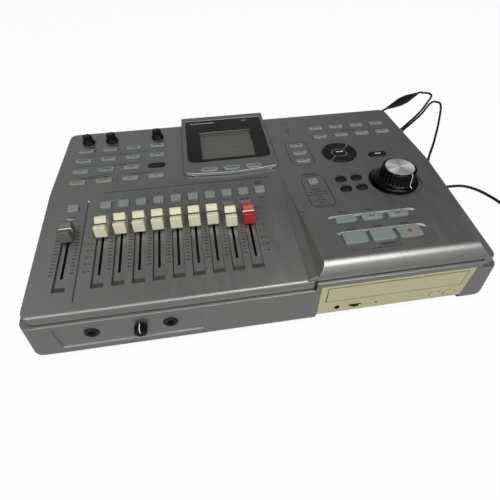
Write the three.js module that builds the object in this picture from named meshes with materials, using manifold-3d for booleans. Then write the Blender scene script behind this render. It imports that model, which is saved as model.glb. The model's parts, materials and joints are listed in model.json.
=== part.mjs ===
// A desktop multitrack recorder: a two-part case with a raised control block, a display hood, ten
// faders, knobs, keys, a jog dial, a disc drive behind the front wall and the lead of its power
// adapter. Millimetres, +Z up, the front towards -Y, the origin on the table under the case's middle.
import * as THREE from "three";
import { mergeVertices } from "three/addons/utils/BufferGeometryUtils.js";
import Module from "manifold-3d";

const wasm = await Module();
wasm.setup();

// Clearances and small values that many pieces share
const seatGap = 0.3;
const slideGap = 0.4;
const overrun = 5;
const keyTravel = 0.5;
const keySteps = 1;
const pillSteps = 3;
const caseSteps = 4;
const discSteps = 32;
const smallDiscSteps = 12;
const postSteps = 8;
const boreSteps = 12;
const noseSteps = 8;

// Case: the lower shell is the widest, the upper shell is set back from it
const caseWidth = 430;
const caseDepth = 276;
const cornerRadius = 12;
const footHeight = 4;
const lowerHeight = 45;
const lowerRound = 5;
const sideLean = 5.5;
const floorThickness = 3;
const wall = 3;
const upperSideInset = 5.5;
const upperFrontInset = 3;
const seamHeight = 1.3;
const seamDepth = 1.2;
const tongueDepth = 3.5;
const rimThickness = 6;
const screwPostInset = 12;
const screwPostRadius = 3.4;
const screwPostJoint = 42;

// Deck: level at the rear, sloping down to the front in the fader zone
const deckHeight = 75;
const deckFrontHeight = 59.5;
const breakFromFrontShare = 0.5308;
const frontEdgeRadius = 2.5;

// Raised block on the right, level with the rear deck, with leaning side walls and a round front edge
const blockLeftShare = 0.0837;
const blockRightShare = 0.4721;
const blockLeftLeanShare = 0.62;
const blockRightLeanShare = 0.92;
const blockRoot = 4;
const bullnoseRadius = 11.5;

// Feet and screw posts under the boards
const footRadius = 8;
const footInsetX = 36;
const footInsetY = 28;
const postRadius = 3;

// Disc drive in the lower shell
const driveMargin = 25;
const bezelOverhang = 1;
const bezelHeight = 41;
const bezelBottom = 11.5;
const bezelThickness = 5;
const bezelGap = 0.3;
const bridgeSide = 4.5;
const bridgeHeight = 5.6;
const bridgeThickness = 5.6;
const trayDoorMargin = 6.8;
const trayDoorHeight = 20;
const trayDoorBottom = 29.4;
const trayDoorThickness = 4;
const traySideGap = 7.8;
const trayLength = 150;
const trayThickness = 6;
const trayRise = 4;
const trayRim = 3.5;
const discWellDepth = 2.4;
const discWellFromDoor = 72;
const chassisWidth = 146;
const chassisLength = 172;
const chassisWall = 1.2;
const chassisInset = 0.4;
const driveJackMargin = 19.2;
const driveJackRadius = 2.6;
const driveJackDepth = 4;
const driveControlsHeight = 19;
const wheelMargin = 37;
const wheelRadius = 7.5;
const wheelThickness = 2.6;
const wheelProud = 1.2;
const wheelSlotWidth = 13;
const wheelLip = 1.5;
const wheelAxleRadius = 1.5;
const driveButtonMargin = 29.8;
const driveButtonPitch = 15.1;
const driveButtonWidth = 11;
const driveButtonHeight = 5.4;
const driveButtonProud = 1;
const driveButtonFlange = 1;

// Faders on the slope: ten in all, the grey one stands apart on the left
const faderPitchShare = 0.041;
const firstFaderXShare = -0.3493;
const loneFaderXShare = -0.4237;
const faderCount = 9;
const faderTravel = 60;
const slotWidth = 2.6;
const slotStartFromBreakShare = 0.1587;
const leverWidth = 1.4;
const leverLength = 3;
const leverReach = 9;
const recessWidth = 11.2;
const recessDepth = 1.2;
const recessEnd = 12.6;
const capWidth = 11;
const capHalfLength = 9.8;
const capRidge = 7.6;
const capHeight = 12.6;
const capValley = 8.6;
const capFoot = 2.6;
const capLift = 0.5;
const faderRests = [12.7, 11.2, 9.4, 9.4, 9.5, 10.2, 10.2, 10.4, 15.7, 15];
const railWidth = 9;
const railHeight = 7;
const railOverhang = 5;
const grooveWidth = 3.2;
const grooveDepth = 6.4;
const grooveSpare = 1;
const boardThickness = 1.6;
const dividerXShare = -0.3916;
const dividerWidth = 1;
const dividerDepth = 0.8;
const dividerStartShare = 0.0362;
const dividerEndShare = 0.4674;

// Keys: each pad of keys is moulded on one sprung strip that lies under the deck
const stripThickness = 1.2;
const stripMargin = 1.6;
const keyGap = 0.35;
const keyHeight = 1.6;
const keyCorner = 1.2;
const trackKeyCount = 10;
const trackKeyWidth = 10.8;
const trackKeyDepth = 9.4;
const trackKeyFromBreakShare = 0.0855;
const trackKeyHeight = 2.2;
const panelKeyWidth = 17.8;
const panelKeyDepth = 6.2;
const leftColumnXShare = -0.4286;
const leftColumnPitchShare = 0.0651;
const leftRowFromFrontShare = 0.5942;
const leftRowPitchShare = 0.0783;
const leftColumns = 4;
const leftRows = 4;
const rightColumnXShare = 0.2367;
const rightColumnPitchShare = 0.0633;
const rightRowFromFrontShare = 0.7779;
const rightRowPitchShare = 0.0783;
const rightColumns = 4;
const rightRows = 2;
const modeKeyXShare = 0.1558;
const modeKeyFromFrontShare = 0.5982;
const modeKeyPitchShare = 0.0609;
const modeKeyWidth = 16.4;
const modeKeyDepth = 5.6;
const modeKeyCount = 3;
const tapKeyFromFrontShare = 0.4514;
const tapKeyWidth = 10.6;
const tapKeyDepth = 8.4;
const exitKeyXShare = 0.3637;
const exitKeyFromFrontShare = 0.5957;
const exitKeyWidth = 20.6;
const exitKeyDepth = 7.6;
const smallKeyXShare = 0.2279;
const smallKeyFromFrontShare = 0.3848;
const smallKeyPitchShare = 0.0403;
const smallKeyWidth = 11.6;
const smallKeyDepth = 7.8;
const cursorXShare = 0.2642;
const cursorFromFrontShare = 0.6359;
const cursorCount = 4;
const cursorRadius = 20;
const cursorInnerRadius = 10.4;
const cursorSpoke = 1.7;
const enterKeyWidth = 14;
const enterKeyDepth = 10.4;
const transportXShare = 0.1893;
const transportPitchShare = 0.0607;
const upperTransportFromFrontShare = 0.2174;
const upperTransportGap = 5.7;
const upperTransportDepth = 7.8;
const upperTroughDepth = 12.4;
const lowerTransportFromFrontShare = 0.1254;
const lowerTransportGap = 4.1;
const lowerTransportDepth = 14;
const lowerTroughDepth = 18;
const troughWidthShare = 0.2116;
const troughXShare = 0.2516;
const troughSink = 1.2;
const transportFlange = 1.1;
const transportProud = 1.4;

// Knobs and the jog dial
const knobFromFrontShare = 0.9022;
const knobColumns = [0, 1, 3];
const knobBaseRadius = 7.4;
const knobTopRadius = 5;
const knobHeight = 10.5;
const knobSkirt = 2.2;
const shaftRadius = 2.8;
const shaftGap = 0.25;
const shaftHoleRadius = 3.4;
const knobRoof = 2;
const dialXShare = 0.3605;
const dialFromFrontShare = 0.4058;
const dialRingRadius = 28;
const dialRingDepth = 1.2;
const dialSkirtRadius = 23.4;
const dialTopRadius = 17.6;
const dialHeight = 17;
const dialSkirtHeight = 3;
const dialRidges = 20;
const dialRidgeDepth = 0.7;
const dialRidgeSides = 4;
const dialCapRadius = 14.8;
const dialCapThickness = 1;
const dialCapSink = 0.6;
const dialRoof = 3;
const lampXShare = 0.1502;
const lampFromFrontShare = 0.8522;
const lampRadius = 2.4;

// Boards under the deck
const keyBoardTop = 65;
const keyBoardRearDepthShare = 0.4058;
const keyBoardSide = 8;
const keyBoardBlockFrontShare = 0.087;
const switchSide = 6;
const switchSpare = 0.4;
const potSide = 10;
const potHeight = 5.5;

// Display hood, lens, display and its three keys, laid out in the hood's own leaning plane
const hoodXShare = -0.0379;
const hoodWidth = 107.6;
const hoodFrontFromFrontShare = 0.5507;
const hoodBow = 6.4;
const hoodFrontHeight = 3.9;
const hoodRearHeight = 10.6;
const hoodCorner = 6;
const hoodShoulderShare = 0.25;
const hoodFrontRadius = 1.8;
const hoodSideLean = 2.4;
const hoodRoof = 3.5;
const hoodWall = 4;
const lensWidth = 95;
const lensLengthShare = 0.727;
const lensStartShare = 0.193;
const lensThickness = 1.5;
const lensFrontRadius = 9;
const lensRearRadius = 3;
const windowWidth = 64;
const windowLengthShare = 0.479;
const windowStartShare = 0.228;
const displayMargin = 3;
const displayThickness = 6;
const softKeyPitch = 24.6;
const softKeyWidth = 19;
const softKeyDepth = 7;
const softKeyFromHoodFront = 7.4;
const softKeyHeight = 1;
const softKeyCornerShare = 0.4;
const softKeyCount = 3;
const hoodOpeningMargin = 8;

// Jacks on the front and the rear wall
const jackPanelLeftShare = -0.4419;
const jackPanelRightShare = -0.1512;
const jackPanelBottom = 15;
const jackPanelTop = 43;
const jackPanelSink = 1.5;
const jackPanelBacking = 2.4;
const jackHeight = 31;
const frontJackXShare = -0.3733;
const frontJackSpanShare = 0.1581;
const frontKnobXShare = -0.2756;
const frontKnobRadius = 5.8;
const frontKnobLength = 8;
const jackCollarRadius = 6.2;
const jackBore = 3.25;
const jackBoreDepth = 24;
const jackBodyWidth = 15;
const jackBodyHeight = 14;
const jackBodyLength = 26;
const jackProud = 0.7;
const rearJackXShare = -0.414;
const rearJackPitchShare = 0.0558;
const rearJackCount = 6;
const frontBoardDepth = 30;
const rearBoardDepth = 34;
const inletXShare = 0.4093;
const inletRadius = 5.2;
const inletBore = 3.1;
const inletDepth = 11;

// Main board and hard disk on the floor
const boardMargin = 10;
const mainBoardLift = 5;
const chipShare = 0.18;
const chipHeight = 2.6;
const chipPitchShare = 0.28;
const chipRows = 4;
const chipColumns = 3;
const diskWidth = 101.6;
const diskLength = 147;
const diskHeight = 26.1;
const diskGap = 6;
const diskLift = 3;
const diskStep = 3;

// Power lead
const cordDiameter = 3.6;
const cordSides = 8;
const cordFloor = 0.1;
const plugTipRadius = 2.7;
const plugTipLength = 9;
const plugRadius = 5.6;
const plugLength = 22;
const reliefLength = 22;
const reliefRadius = 4;
const reliefEndRadius = 2.3;
const chokeRadius = 7.4;
const chokeLength = 96;
const chokeBodyShare = 0.42;
const chokeShoulderShare = 0.8;
const chokeTurnShare = 0.085;
const coilX = 363;
const coilFromFront = 95;
const coilOuterRadius = 26;
const coilTurns = 5;
const coilClimbTurns = 0.5;
const coilGap = 0.6;
const coilStepsPerTurn = 24;
const coilSides = 6;
const adapterWidth = 48;
const adapterLength = 68;
const adapterHeight = 34;
const adapterCorner = 5;
const pinLength = 18;
const pinWidth = 6.4;
const pinThickness = 1.6;
const pinSpacing = 12.7;

// Colours and finishes
function finish(color, roughness, metalness) {
  return new THREE.MeshStandardMaterial({ color, roughness, metalness });
}
const silver = finish(0x8d9092, 0.45, 0.35);
const black = finish(0x121212, 0.5, 0);
const rubber = finish(0x1b1b1b, 0.85, 0);
const keyGrey = finish(0xc3cac6, 0.5, 0);
const capCream = finish(0xeeeade, 0.5, 0);
const capRed = finish(0xb3121c, 0.45, 0);
const capGrey = finish(0x6a6c6c, 0.5, 0);
const bezelCream = finish(0xe4dfc2, 0.5, 0);
const metal = finish(0xb9bcbf, 0.35, 0.9);
const glass = finish(0x0c0d0e, 0.15, 0);
const displayOlive = finish(0x7d8075, 0.4, 0);
const boardGreen = finish(0x2f5a3a, 0.6, 0);

// Places on the deck and on the walls follow the case's width and depth
const blockLeft = blockLeftShare * caseWidth;
const blockRight = blockRightShare * caseWidth;
const firstFaderX = firstFaderXShare * caseWidth;
const faderPitch = faderPitchShare * caseWidth;
const loneFaderX = loneFaderXShare * caseWidth;
const dividerX = dividerXShare * caseWidth;
const leftColumnX = leftColumnXShare * caseWidth;
const leftColumnPitch = leftColumnPitchShare * caseWidth;
const rightColumnX = rightColumnXShare * caseWidth;
const rightColumnPitch = rightColumnPitchShare * caseWidth;
const modeKeyX = modeKeyXShare * caseWidth;
const exitKeyX = exitKeyXShare * caseWidth;
const smallKeyX = smallKeyXShare * caseWidth;
const smallKeyPitch = smallKeyPitchShare * caseWidth;
const cursorX = cursorXShare * caseWidth;
const transportX = transportXShare * caseWidth;
const transportPitch = transportPitchShare * caseWidth;
const troughWidth = troughWidthShare * caseWidth;
const troughX = troughXShare * caseWidth;
const dialX = dialXShare * caseWidth;
const lampX = lampXShare * caseWidth;
const hoodX = hoodXShare * caseWidth;
const jackPanelLeft = jackPanelLeftShare * caseWidth;
const jackPanelRight = jackPanelRightShare * caseWidth;
const frontJackX = frontJackXShare * caseWidth;
const frontJackSpan = frontJackSpanShare * caseWidth;
const frontKnobX = frontKnobXShare * caseWidth;
const rearJackX = rearJackXShare * caseWidth;
const rearJackPitch = rearJackPitchShare * caseWidth;
const inletX = inletXShare * caseWidth;
const breakFromFront = breakFromFrontShare * caseDepth;
const slotStartFromBreak = slotStartFromBreakShare * caseDepth;
const trackKeyFromBreak = trackKeyFromBreakShare * caseDepth;
const dividerStart = dividerStartShare * caseDepth;
const dividerEnd = dividerEndShare * caseDepth;
const leftRowFromFront = leftRowFromFrontShare * caseDepth;
const leftRowPitch = leftRowPitchShare * caseDepth;
const rightRowFromFront = rightRowFromFrontShare * caseDepth;
const rightRowPitch = rightRowPitchShare * caseDepth;
const modeKeyFromFront = modeKeyFromFrontShare * caseDepth;
const modeKeyPitch = modeKeyPitchShare * caseDepth;
const tapKeyFromFront = tapKeyFromFrontShare * caseDepth;
const exitKeyFromFront = exitKeyFromFrontShare * caseDepth;
const smallKeyFromFront = smallKeyFromFrontShare * caseDepth;
const cursorFromFront = cursorFromFrontShare * caseDepth;
const upperTransportFromFront = upperTransportFromFrontShare * caseDepth;
const lowerTransportFromFront = lowerTransportFromFrontShare * caseDepth;
const knobFromFront = knobFromFrontShare * caseDepth;
const dialFromFront = dialFromFrontShare * caseDepth;
const lampFromFront = lampFromFrontShare * caseDepth;
const keyBoardRearDepth = keyBoardRearDepthShare * caseDepth;
const keyBoardBlockFront = keyBoardBlockFrontShare * caseDepth;
const hoodFrontFromFront = hoodFrontFromFrontShare * caseDepth;

// The drive's pieces follow its chassis, which lies a margin in from the case's right side
const half = (value) => value / 2;
const bezelCentreX = half(caseWidth) - driveMargin - half(chassisWidth);
const bezelWidth = chassisWidth + bezelOverhang * 2;
const bezelLeft = bezelCentreX - half(bezelWidth);
const bezelRight = bezelCentreX + half(bezelWidth);
const trayDoorWidth = bezelWidth - trayDoorMargin * 2;
const trayWidth = chassisWidth - (chassisWall + traySideGap) * 2;
const discWellRadius = half(trayWidth) - trayRim;
const driveJackX = bezelLeft + driveJackMargin;
const wheelX = bezelLeft + wheelMargin;
const driveButtonX = bezelRight - driveButtonMargin;
const upperTransportWidth = transportPitch - upperTransportGap;
const lowerTransportWidth = transportPitch - lowerTransportGap;

// Levels and places worked out from the sizes above
const lowerTop = footHeight + lowerHeight;
const floorTop = footHeight + floorThickness;
const knobReach = frontKnobLength + seatGap - jackPanelSink;
const originFromFront = half(caseDepth + jackProud - knobReach);
const fromFront = (distance) => distance - originFromFront;
const frontY = fromFront(0);
const rearY = fromFront(caseDepth);
const middleY = half(frontY + rearY);
const upperFront = frontY + upperFrontInset;
const upperRear = rearY - upperFrontInset;
const upperHalfWidth = half(caseWidth) - upperSideInset;
const upperRadius = cornerRadius - upperFrontInset;
const seamTop = lowerTop + seamHeight;
const breakY = fromFront(breakFromFront);
const slopeRun = breakY - upperFront;
const slopeRise = deckHeight - deckFrontHeight;
const slopeAngle = Math.atan2(slopeRise, slopeRun);
const slopeLength = Math.hypot(slopeRun, slopeRise);
const slopeHeight = (y) => deckHeight - ((breakY - y) * slopeRise) / slopeRun;
const underDeck = deckHeight - wall - seatGap;

const recorder = new THREE.Group();
const slope = new THREE.Group();
slope.position.set(0, breakY, deckHeight);
slope.rotation.x = slopeAngle;
recorder.add(slope);
slope.updateMatrix();

const hoodFrontY = fromFront(hoodFrontFromFront);
const hoodLength = upperRear - hoodFrontY;
const lensLength = hoodLength * lensLengthShare;
const lensStart = hoodLength * lensStartShare;
const windowLength = hoodLength * windowLengthShare;
const windowStart = hoodLength * windowStartShare;
const hoodAngle = Math.atan2(hoodRearHeight - hoodFrontHeight, upperRear - hoodFrontY);
const hoodPlane = new THREE.Group();
hoodPlane.position.set(hoodX, hoodFrontY, deckHeight + hoodFrontHeight);
hoodPlane.rotation.x = hoodAngle;
recorder.add(hoodPlane);
hoodPlane.updateMatrix();

// Geometry helpers: three.js makes each shape, and solid() hands it on to be joined or cut
function solid(geometry) {
  const bare = geometry.clone();
  bare.deleteAttribute("normal");
  bare.deleteAttribute("uv");
  const merged = mergeVertices(bare);
  return new wasm.Manifold(
    new wasm.Mesh({
      numProp: 3,
      vertProperties: merged.attributes.position.array,
      triVerts: new Uint32Array(merged.index.array),
    }),
  );
}

function addPiece(name, made, material, parent = recorder) {
  const result = made.getMesh();
  const geometry = new THREE.BufferGeometry();
  const positions = new THREE.BufferAttribute(result.vertProperties, result.numProp);
  geometry.setAttribute("position", positions);
  geometry.setIndex(new THREE.BufferAttribute(result.triVerts, 1));
  geometry.computeVertexNormals();
  const piece = new THREE.Mesh(geometry, material);
  piece.name = name;
  parent.add(piece);
}

function join(parts) {
  return parts.reduce((whole, part) => whole.add(part));
}

function cut(whole, parts) {
  return parts.reduce((left, part) => left.subtract(part), whole);
}

function block(x0, x1, y0, y1, z0, z1) {
  const geometry = new THREE.BoxGeometry(x1 - x0, y1 - y0, z1 - z0);
  return geometry.translate(half(x0 + x1), half(y0 + y1), half(z0 + z1));
}

function plate(shape, z0, z1, steps = keySteps) {
  const geometry = new THREE.ExtrudeGeometry(shape, {
    depth: z1 - z0,
    bevelEnabled: false,
    curveSegments: steps,
  });
  return geometry.translate(0, 0, z0);
}

// A rectangle with round corners; its front and rear corners may differ
function roundedRectangle(x, y, width, depth, frontRadius, rearRadius = frontRadius) {
  const [left, right] = [x - half(width), x + half(width)];
  const [front, rear] = [y - half(depth), y + half(depth)];
  const shape = new THREE.Shape();
  shape.moveTo(left + frontRadius, front);
  shape.lineTo(right - frontRadius, front);
  shape.quadraticCurveTo(right, front, right, front + frontRadius);
  shape.lineTo(right, rear - rearRadius);
  shape.quadraticCurveTo(right, rear, right - rearRadius, rear);
  shape.lineTo(left + rearRadius, rear);
  shape.quadraticCurveTo(left, rear, left, rear - rearRadius);
  shape.lineTo(left, front + frontRadius);
  shape.quadraticCurveTo(left, front, left + frontRadius, front);
  return shape;
}

function cylinder(x, y, radius, z0, z1, steps = discSteps, topRadius = radius) {
  const geometry = new THREE.CylinderGeometry(topRadius, radius, z1 - z0, steps);
  return geometry.rotateX(Math.PI / 2).translate(x, y, half(z0 + z1));
}

// A cylinder that runs along Y, from y0 to y1, at x and height z
function rod(x, z, radius, y0, y1, steps = smallDiscSteps, endRadius = radius) {
  const geometry = new THREE.CylinderGeometry(endRadius, radius, y1 - y0, steps);
  return geometry.translate(x, half(y0 + y1), z);
}

// A side view, drawn as (y, z), stretched across from x0 to x1
function sideView(shape, x0, x1, steps = caseSteps) {
  const geometry = new THREE.ExtrudeGeometry(shape, {
    depth: x1 - x0,
    bevelEnabled: false,
    curveSegments: steps,
  });
  const turn = new THREE.Matrix4().makeBasis(
    new THREE.Vector3(0, 1, 0),
    new THREE.Vector3(0, 0, 1),
    new THREE.Vector3(1, 0, 0),
  );
  return geometry.applyMatrix4(turn).translate(x0, 0, 0);
}

// A six-sided solid from its lower and upper four corners, each going round anticlockwise from above
function sixSided(lower, upper) {
  const geometry = new THREE.BufferGeometry();
  const corners = [...lower, ...upper].flat();
  geometry.setAttribute("position", new THREE.Float32BufferAttribute(corners, 3));
  const faces = [
    [3, 2, 1, 0], [4, 5, 6, 7], [0, 1, 5, 4],
    [1, 2, 6, 5], [2, 3, 7, 6], [3, 0, 4, 7],
  ];
  geometry.setIndex(faces.flatMap(([a, b, c, d]) => [a, b, c, a, c, d]));
  return geometry;
}

const onSlope = (geometry) => geometry.applyMatrix4(slope.matrix);
const onHood = (geometry) => geometry.applyMatrix4(hoodPlane.matrix);

// Upper shell: the deck with its slope, the raised block, and the tongue that drops into the lower shell
function deckSideView(inset) {
  const top = deckHeight - inset;
  const front = upperFront + inset;
  const rear = upperRear - inset;
  const radius = inset > 0 ? 0 : frontEdgeRadius;
  const shape = new THREE.Shape();
  const bottom = inset > 0 ? floorTop : seamTop;
  shape.moveTo(rear, bottom);
  shape.lineTo(rear, top);
  shape.lineTo(breakY, top);
  shape.lineTo(front + radius, slopeHeight(front + radius) - inset);
  if (radius > 0) {
    shape.quadraticCurveTo(front, slopeHeight(front), front, slopeHeight(front) - radius);
  }
  shape.lineTo(front, bottom);
  shape.closePath();
  return shape;
}

function deckOutline(inset) {
  return roundedRectangle(
    0,
    half(upperFront + upperRear),
    (upperHalfWidth - inset) * 2,
    upperRear - upperFront - inset * 2,
    upperRadius - inset,
  );
}

// The block leans in on both sides from a foot line that follows the slope
function raisedBlock(inset) {
  const leftShift = inset * Math.hypot(1, blockLeftLeanShare);
  const rightShift = inset * Math.hypot(1, blockRightLeanShare);
  const top = deckHeight - inset;
  const corner = (left, y, z) => {
    const rise = z - slopeHeight(y);
    const x = left ? blockLeft + leftShift + blockLeftLeanShare * rise
      : blockRight - rightShift - blockRightLeanShare * rise;
    return [x, y, z];
  };
  const front = upperFront;
  const low = inset + blockRoot;
  const lower = [
    corner(true, front, slopeHeight(front) - low),
    corner(false, front, slopeHeight(front) - low),
    corner(false, breakY, slopeHeight(breakY) - low),
    corner(true, breakY, slopeHeight(breakY) - low),
  ];
  const upper = [
    corner(true, front, top),
    corner(false, front, top),
    corner(false, breakY, top),
    corner(true, breakY, top),
  ];
  const face = front + inset;
  const radius = bullnoseRadius - inset;
  const shape = new THREE.Shape();
  shape.moveTo(breakY + overrun, floorTop);
  shape.lineTo(breakY + overrun, top);
  shape.lineTo(face + radius, top);
  shape.absarc(face + radius, top - radius, radius, Math.PI / 2, Math.PI);
  shape.lineTo(face, floorTop);
  shape.closePath();
  const section = solid(sideView(shape, 0, half(caseWidth), noseSteps));
  return solid(sixSided(lower, upper)).intersect(section);
}

const deckShell = solid(sideView(deckSideView(0), -upperHalfWidth, upperHalfWidth))
  .intersect(solid(plate(deckOutline(0), 0, deckHeight + overrun, caseSteps)));
const tongue = solid(plate(deckOutline(seamDepth), lowerTop - tongueDepth, seamTop + overrun));
const deckHollow = solid(sideView(deckSideView(wall), -upperHalfWidth, upperHalfWidth))
  .intersect(solid(plate(deckOutline(wall), 0, deckHeight)));

// The bridge of the lower shell passes over the drive's bezel, and the upper shell is cut away for it
const bezelTop = bezelBottom + bezelHeight;
const bridgeLeft = bezelLeft - bridgeSide;
const bridgeRight = bezelRight + bridgeSide;
const bridgeTop = bezelTop + bezelGap + bridgeHeight;
const bridgeNotch = solid(block(
  bridgeLeft - seamDepth, bridgeRight + seamDepth,
  frontY - overrun, frontY + bridgeThickness + seamDepth,
  0, bridgeTop + seamHeight,
));

const deckCuts = [];
const posts = [];

// Fader slots, their shallow recesses and the line that sets the left fader apart
const slotLength = faderTravel + leverLength + slideGap * 2;
const slotRearY = -slotStartFromBreak;
const slotFrontY = slotRearY - slotLength;
const faderXs = [loneFaderX];
for (let i = 0; i < faderCount; i += 1) faderXs.push(firstFaderX + i * faderPitch);
for (const x of faderXs) {
  deckCuts.push(solid(onSlope(block(
    x - half(slotWidth), x + half(slotWidth), slotFrontY, slotRearY, -wall - overrun, overrun,
  ))));
  deckCuts.push(solid(onSlope(block(
    x - half(recessWidth), x + half(recessWidth),
    slotFrontY - recessEnd, slotRearY + recessEnd, -recessDepth, overrun,
  ))));
}
deckCuts.push(solid(onSlope(block(
  dividerX - half(dividerWidth), dividerX + half(dividerWidth),
  dividerStart - slopeLength, dividerEnd - slopeLength, -dividerDepth, overrun,
))));

// Keys that stand on one strip, with the holes they need in the deck; z is 0 on the deck's surface
function keyShape(x, y, width, depth, corner = keyCorner) {
  return roundedRectangle(x, y, width, depth, Math.min(corner, half(depth) - seatGap));
}

function keyPad(keys, height) {
  const under = -wall - seatGap;
  const xs = keys.flatMap(({ x, width }) => [x - half(width), x + half(width)]);
  const ys = keys.flatMap(({ y, depth }) => [y - half(depth), y + half(depth)]);
  const strip = block(
    Math.min(...xs) - stripMargin, Math.max(...xs) + stripMargin,
    Math.min(...ys) - stripMargin, Math.max(...ys) + stripMargin,
    under - stripThickness, under,
  );
  const tops = keys.map(({ x, y, width, depth, corner }) => solid(plate(
    keyShape(x, y, width, depth, corner), under - half(stripThickness), height,
    corner ? pillSteps : keySteps,
  )));
  return join([solid(strip), ...tops]);
}

function keyHoles(keys) {
  return keys.map(({ x, y, width, depth, corner }) => plate(
    keyShape(x, y, width + keyGap * 2, depth + keyGap * 2, (corner ?? keyCorner) + keyGap),
    -wall - overrun, overrun, corner ? pillSteps : keySteps,
  ));
}

const onDeck = (geometry) => geometry.translate(0, 0, deckHeight);
const deckPlane = new THREE.Group();
deckPlane.position.z = deckHeight;
recorder.add(deckPlane);

const switches = [];
function addSwitches(keys) {
  for (const { x, y } of keys) switches.push({ x, y });
}

function addDeckPad(name, keys, material, height = keyHeight) {
  addPiece(name, keyPad(keys, height), material, deckPlane);
  deckCuts.push(...keyHoles(keys).map((hole) => solid(onDeck(hole))));
  addSwitches(keys);
}

// Track keys over the faders, one more over the left fader, and one spare key at the right
const trackKeyXs = [loneFaderX];
for (let i = 0; i < trackKeyCount; i += 1) trackKeyXs.push(firstFaderX + i * faderPitch);
const trackKeys = trackKeyXs.map((x) => ({
  x, y: -trackKeyFromBreak, width: trackKeyWidth, depth: trackKeyDepth,
}));
addPiece("track_key_strip", keyPad(trackKeys, trackKeyHeight), keyGrey, slope);
deckCuts.push(...keyHoles(trackKeys).map((hole) => solid(onSlope(hole))));

// Left panel keys: two pads of two rows, and one black key that stands alone in the front pad
function gridKeys(x0, y0, pitchX, pitchY, columns, rows) {
  const keys = [];
  for (const row of rows) {
    for (let column = 0; column < columns; column += 1) {
      keys.push({
        x: x0 + column * pitchX, y: fromFront(y0 + row * pitchY),
        width: panelKeyWidth, depth: panelKeyDepth,
      });
    }
  }
  return keys;
}
function leftGrid(rows) {
  return gridKeys(leftColumnX, leftRowFromFront, leftColumnPitch, leftRowPitch, leftColumns, rows);
}
addDeckPad("left_rear_keys", leftGrid([leftRows - 2, leftRows - 1]), keyGrey);
const frontLeftKeys = leftGrid([0, 1]);
const loneKey = frontLeftKeys.pop();
loneKey.corner = half(panelKeyDepth);
const loneKeySpace = block(
  loneKey.x - half(loneKey.width) - stripMargin * 2, loneKey.x + half(loneKey.width) + stripMargin * 2,
  loneKey.y - half(loneKey.depth) - stripMargin * 2, loneKey.y + half(loneKey.depth) + stripMargin * 2,
  -wall - overrun, 0,
);
const frontLeftPad = keyPad(frontLeftKeys, keyHeight).subtract(solid(loneKeySpace));
addPiece("left_front_keys", frontLeftPad, keyGrey, deckPlane);
deckCuts.push(...keyHoles(frontLeftKeys).map((hole) => solid(onDeck(hole))));
addSwitches(frontLeftKeys);
addDeckPad("left_black_key", [loneKey], black);

// Right panel keys, the mode keys in their outlined boxes, the exit key and the four small keys
const rightKeys = gridKeys(
  rightColumnX, rightRowFromFront, rightColumnPitch, rightRowPitch, rightColumns, [0, rightRows - 1],
);
addDeckPad("right_panel_keys", rightKeys, keyGrey);
const modeKeys = [{ x: modeKeyX, y: fromFront(tapKeyFromFront), width: tapKeyWidth, depth: tapKeyDepth }];
for (let i = 0; i < modeKeyCount; i += 1) {
  const y = fromFront(modeKeyFromFront + i * modeKeyPitch);
  modeKeys.push({ x: modeKeyX, y, width: modeKeyWidth, depth: modeKeyDepth });
}
addDeckPad("mode_key_strip", modeKeys, keyGrey);
addDeckPad("exit_key", [{
  x: exitKeyX, y: fromFront(exitKeyFromFront), width: exitKeyWidth, depth: exitKeyDepth,
  corner: half(exitKeyDepth),
}], black);
const smallKeys = [0, 1].flatMap((row) => [0, 1].map((column) => ({
  x: smallKeyX + column * smallKeyPitch, y: fromFront(smallKeyFromFront + row * smallKeyPitch),
  width: smallKeyWidth, depth: smallKeyDepth, corner: half(smallKeyDepth),
})));
addDeckPad("small_black_keys", smallKeys, black);

// Cursor pad: four arcs on one ring under the deck, and the enter key in the middle
const cursorY = fromFront(cursorFromFront);
function cursorArc(quarter, grow) {
  const centre = quarter * (Math.PI / 2);
  const outer = cursorRadius + grow;
  const inner = cursorInnerRadius - grow;
  const outerSpan = Math.PI / 4 - (cursorSpoke - grow) / outer;
  const innerSpan = Math.PI / 4 - (cursorSpoke - grow) / inner;
  const shape = new THREE.Shape();
  shape.absarc(cursorX, cursorY, outer, centre - outerSpan, centre + outerSpan, false);
  shape.absarc(cursorX, cursorY, inner, centre + innerSpan, centre - innerSpan, true);
  shape.closePath();
  return shape;
}
const ringTop = -wall - seatGap;
const ringLow = ringTop - stripThickness;
const ringBore = cylinder(
  cursorX, cursorY, cursorInnerRadius - keyGap, ringLow - overrun, ringTop + overrun,
);
const cursorRing = solid(cylinder(cursorX, cursorY, cursorRadius + stripMargin, ringLow, ringTop))
  .subtract(solid(ringBore));
const arcs = [];
for (let i = 0; i < cursorCount; i += 1) {
  arcs.push(solid(plate(cursorArc(i, 0), ringTop - half(stripThickness), keyHeight, pillSteps)));
  deckCuts.push(solid(onDeck(plate(cursorArc(i, keyGap), -wall - overrun, overrun, pillSteps))));
}
addPiece("cursor_keys", join([cursorRing, ...arcs]), black, deckPlane);
const enterKey = {
  x: cursorX, y: cursorY, width: enterKeyWidth, depth: enterKeyDepth, corner: half(enterKeyDepth),
};
const enterFlange = keyShape(
  cursorX, cursorY, enterKeyWidth + stripMargin, enterKeyDepth + stripMargin, half(enterKeyDepth),
);
addPiece("enter_key", join([
  solid(plate(enterFlange, ringLow, ringTop, pillSteps)),
  solid(plate(
    keyShape(cursorX, cursorY, enterKeyWidth, enterKeyDepth, enterKey.corner),
    ringTop - half(stripThickness), keyHeight, pillSteps,
  )),
]), black, deckPlane);
deckCuts.push(...keyHoles([enterKey]).map((hole) => solid(onDeck(hole))));
addSwitches([enterKey]);

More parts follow.
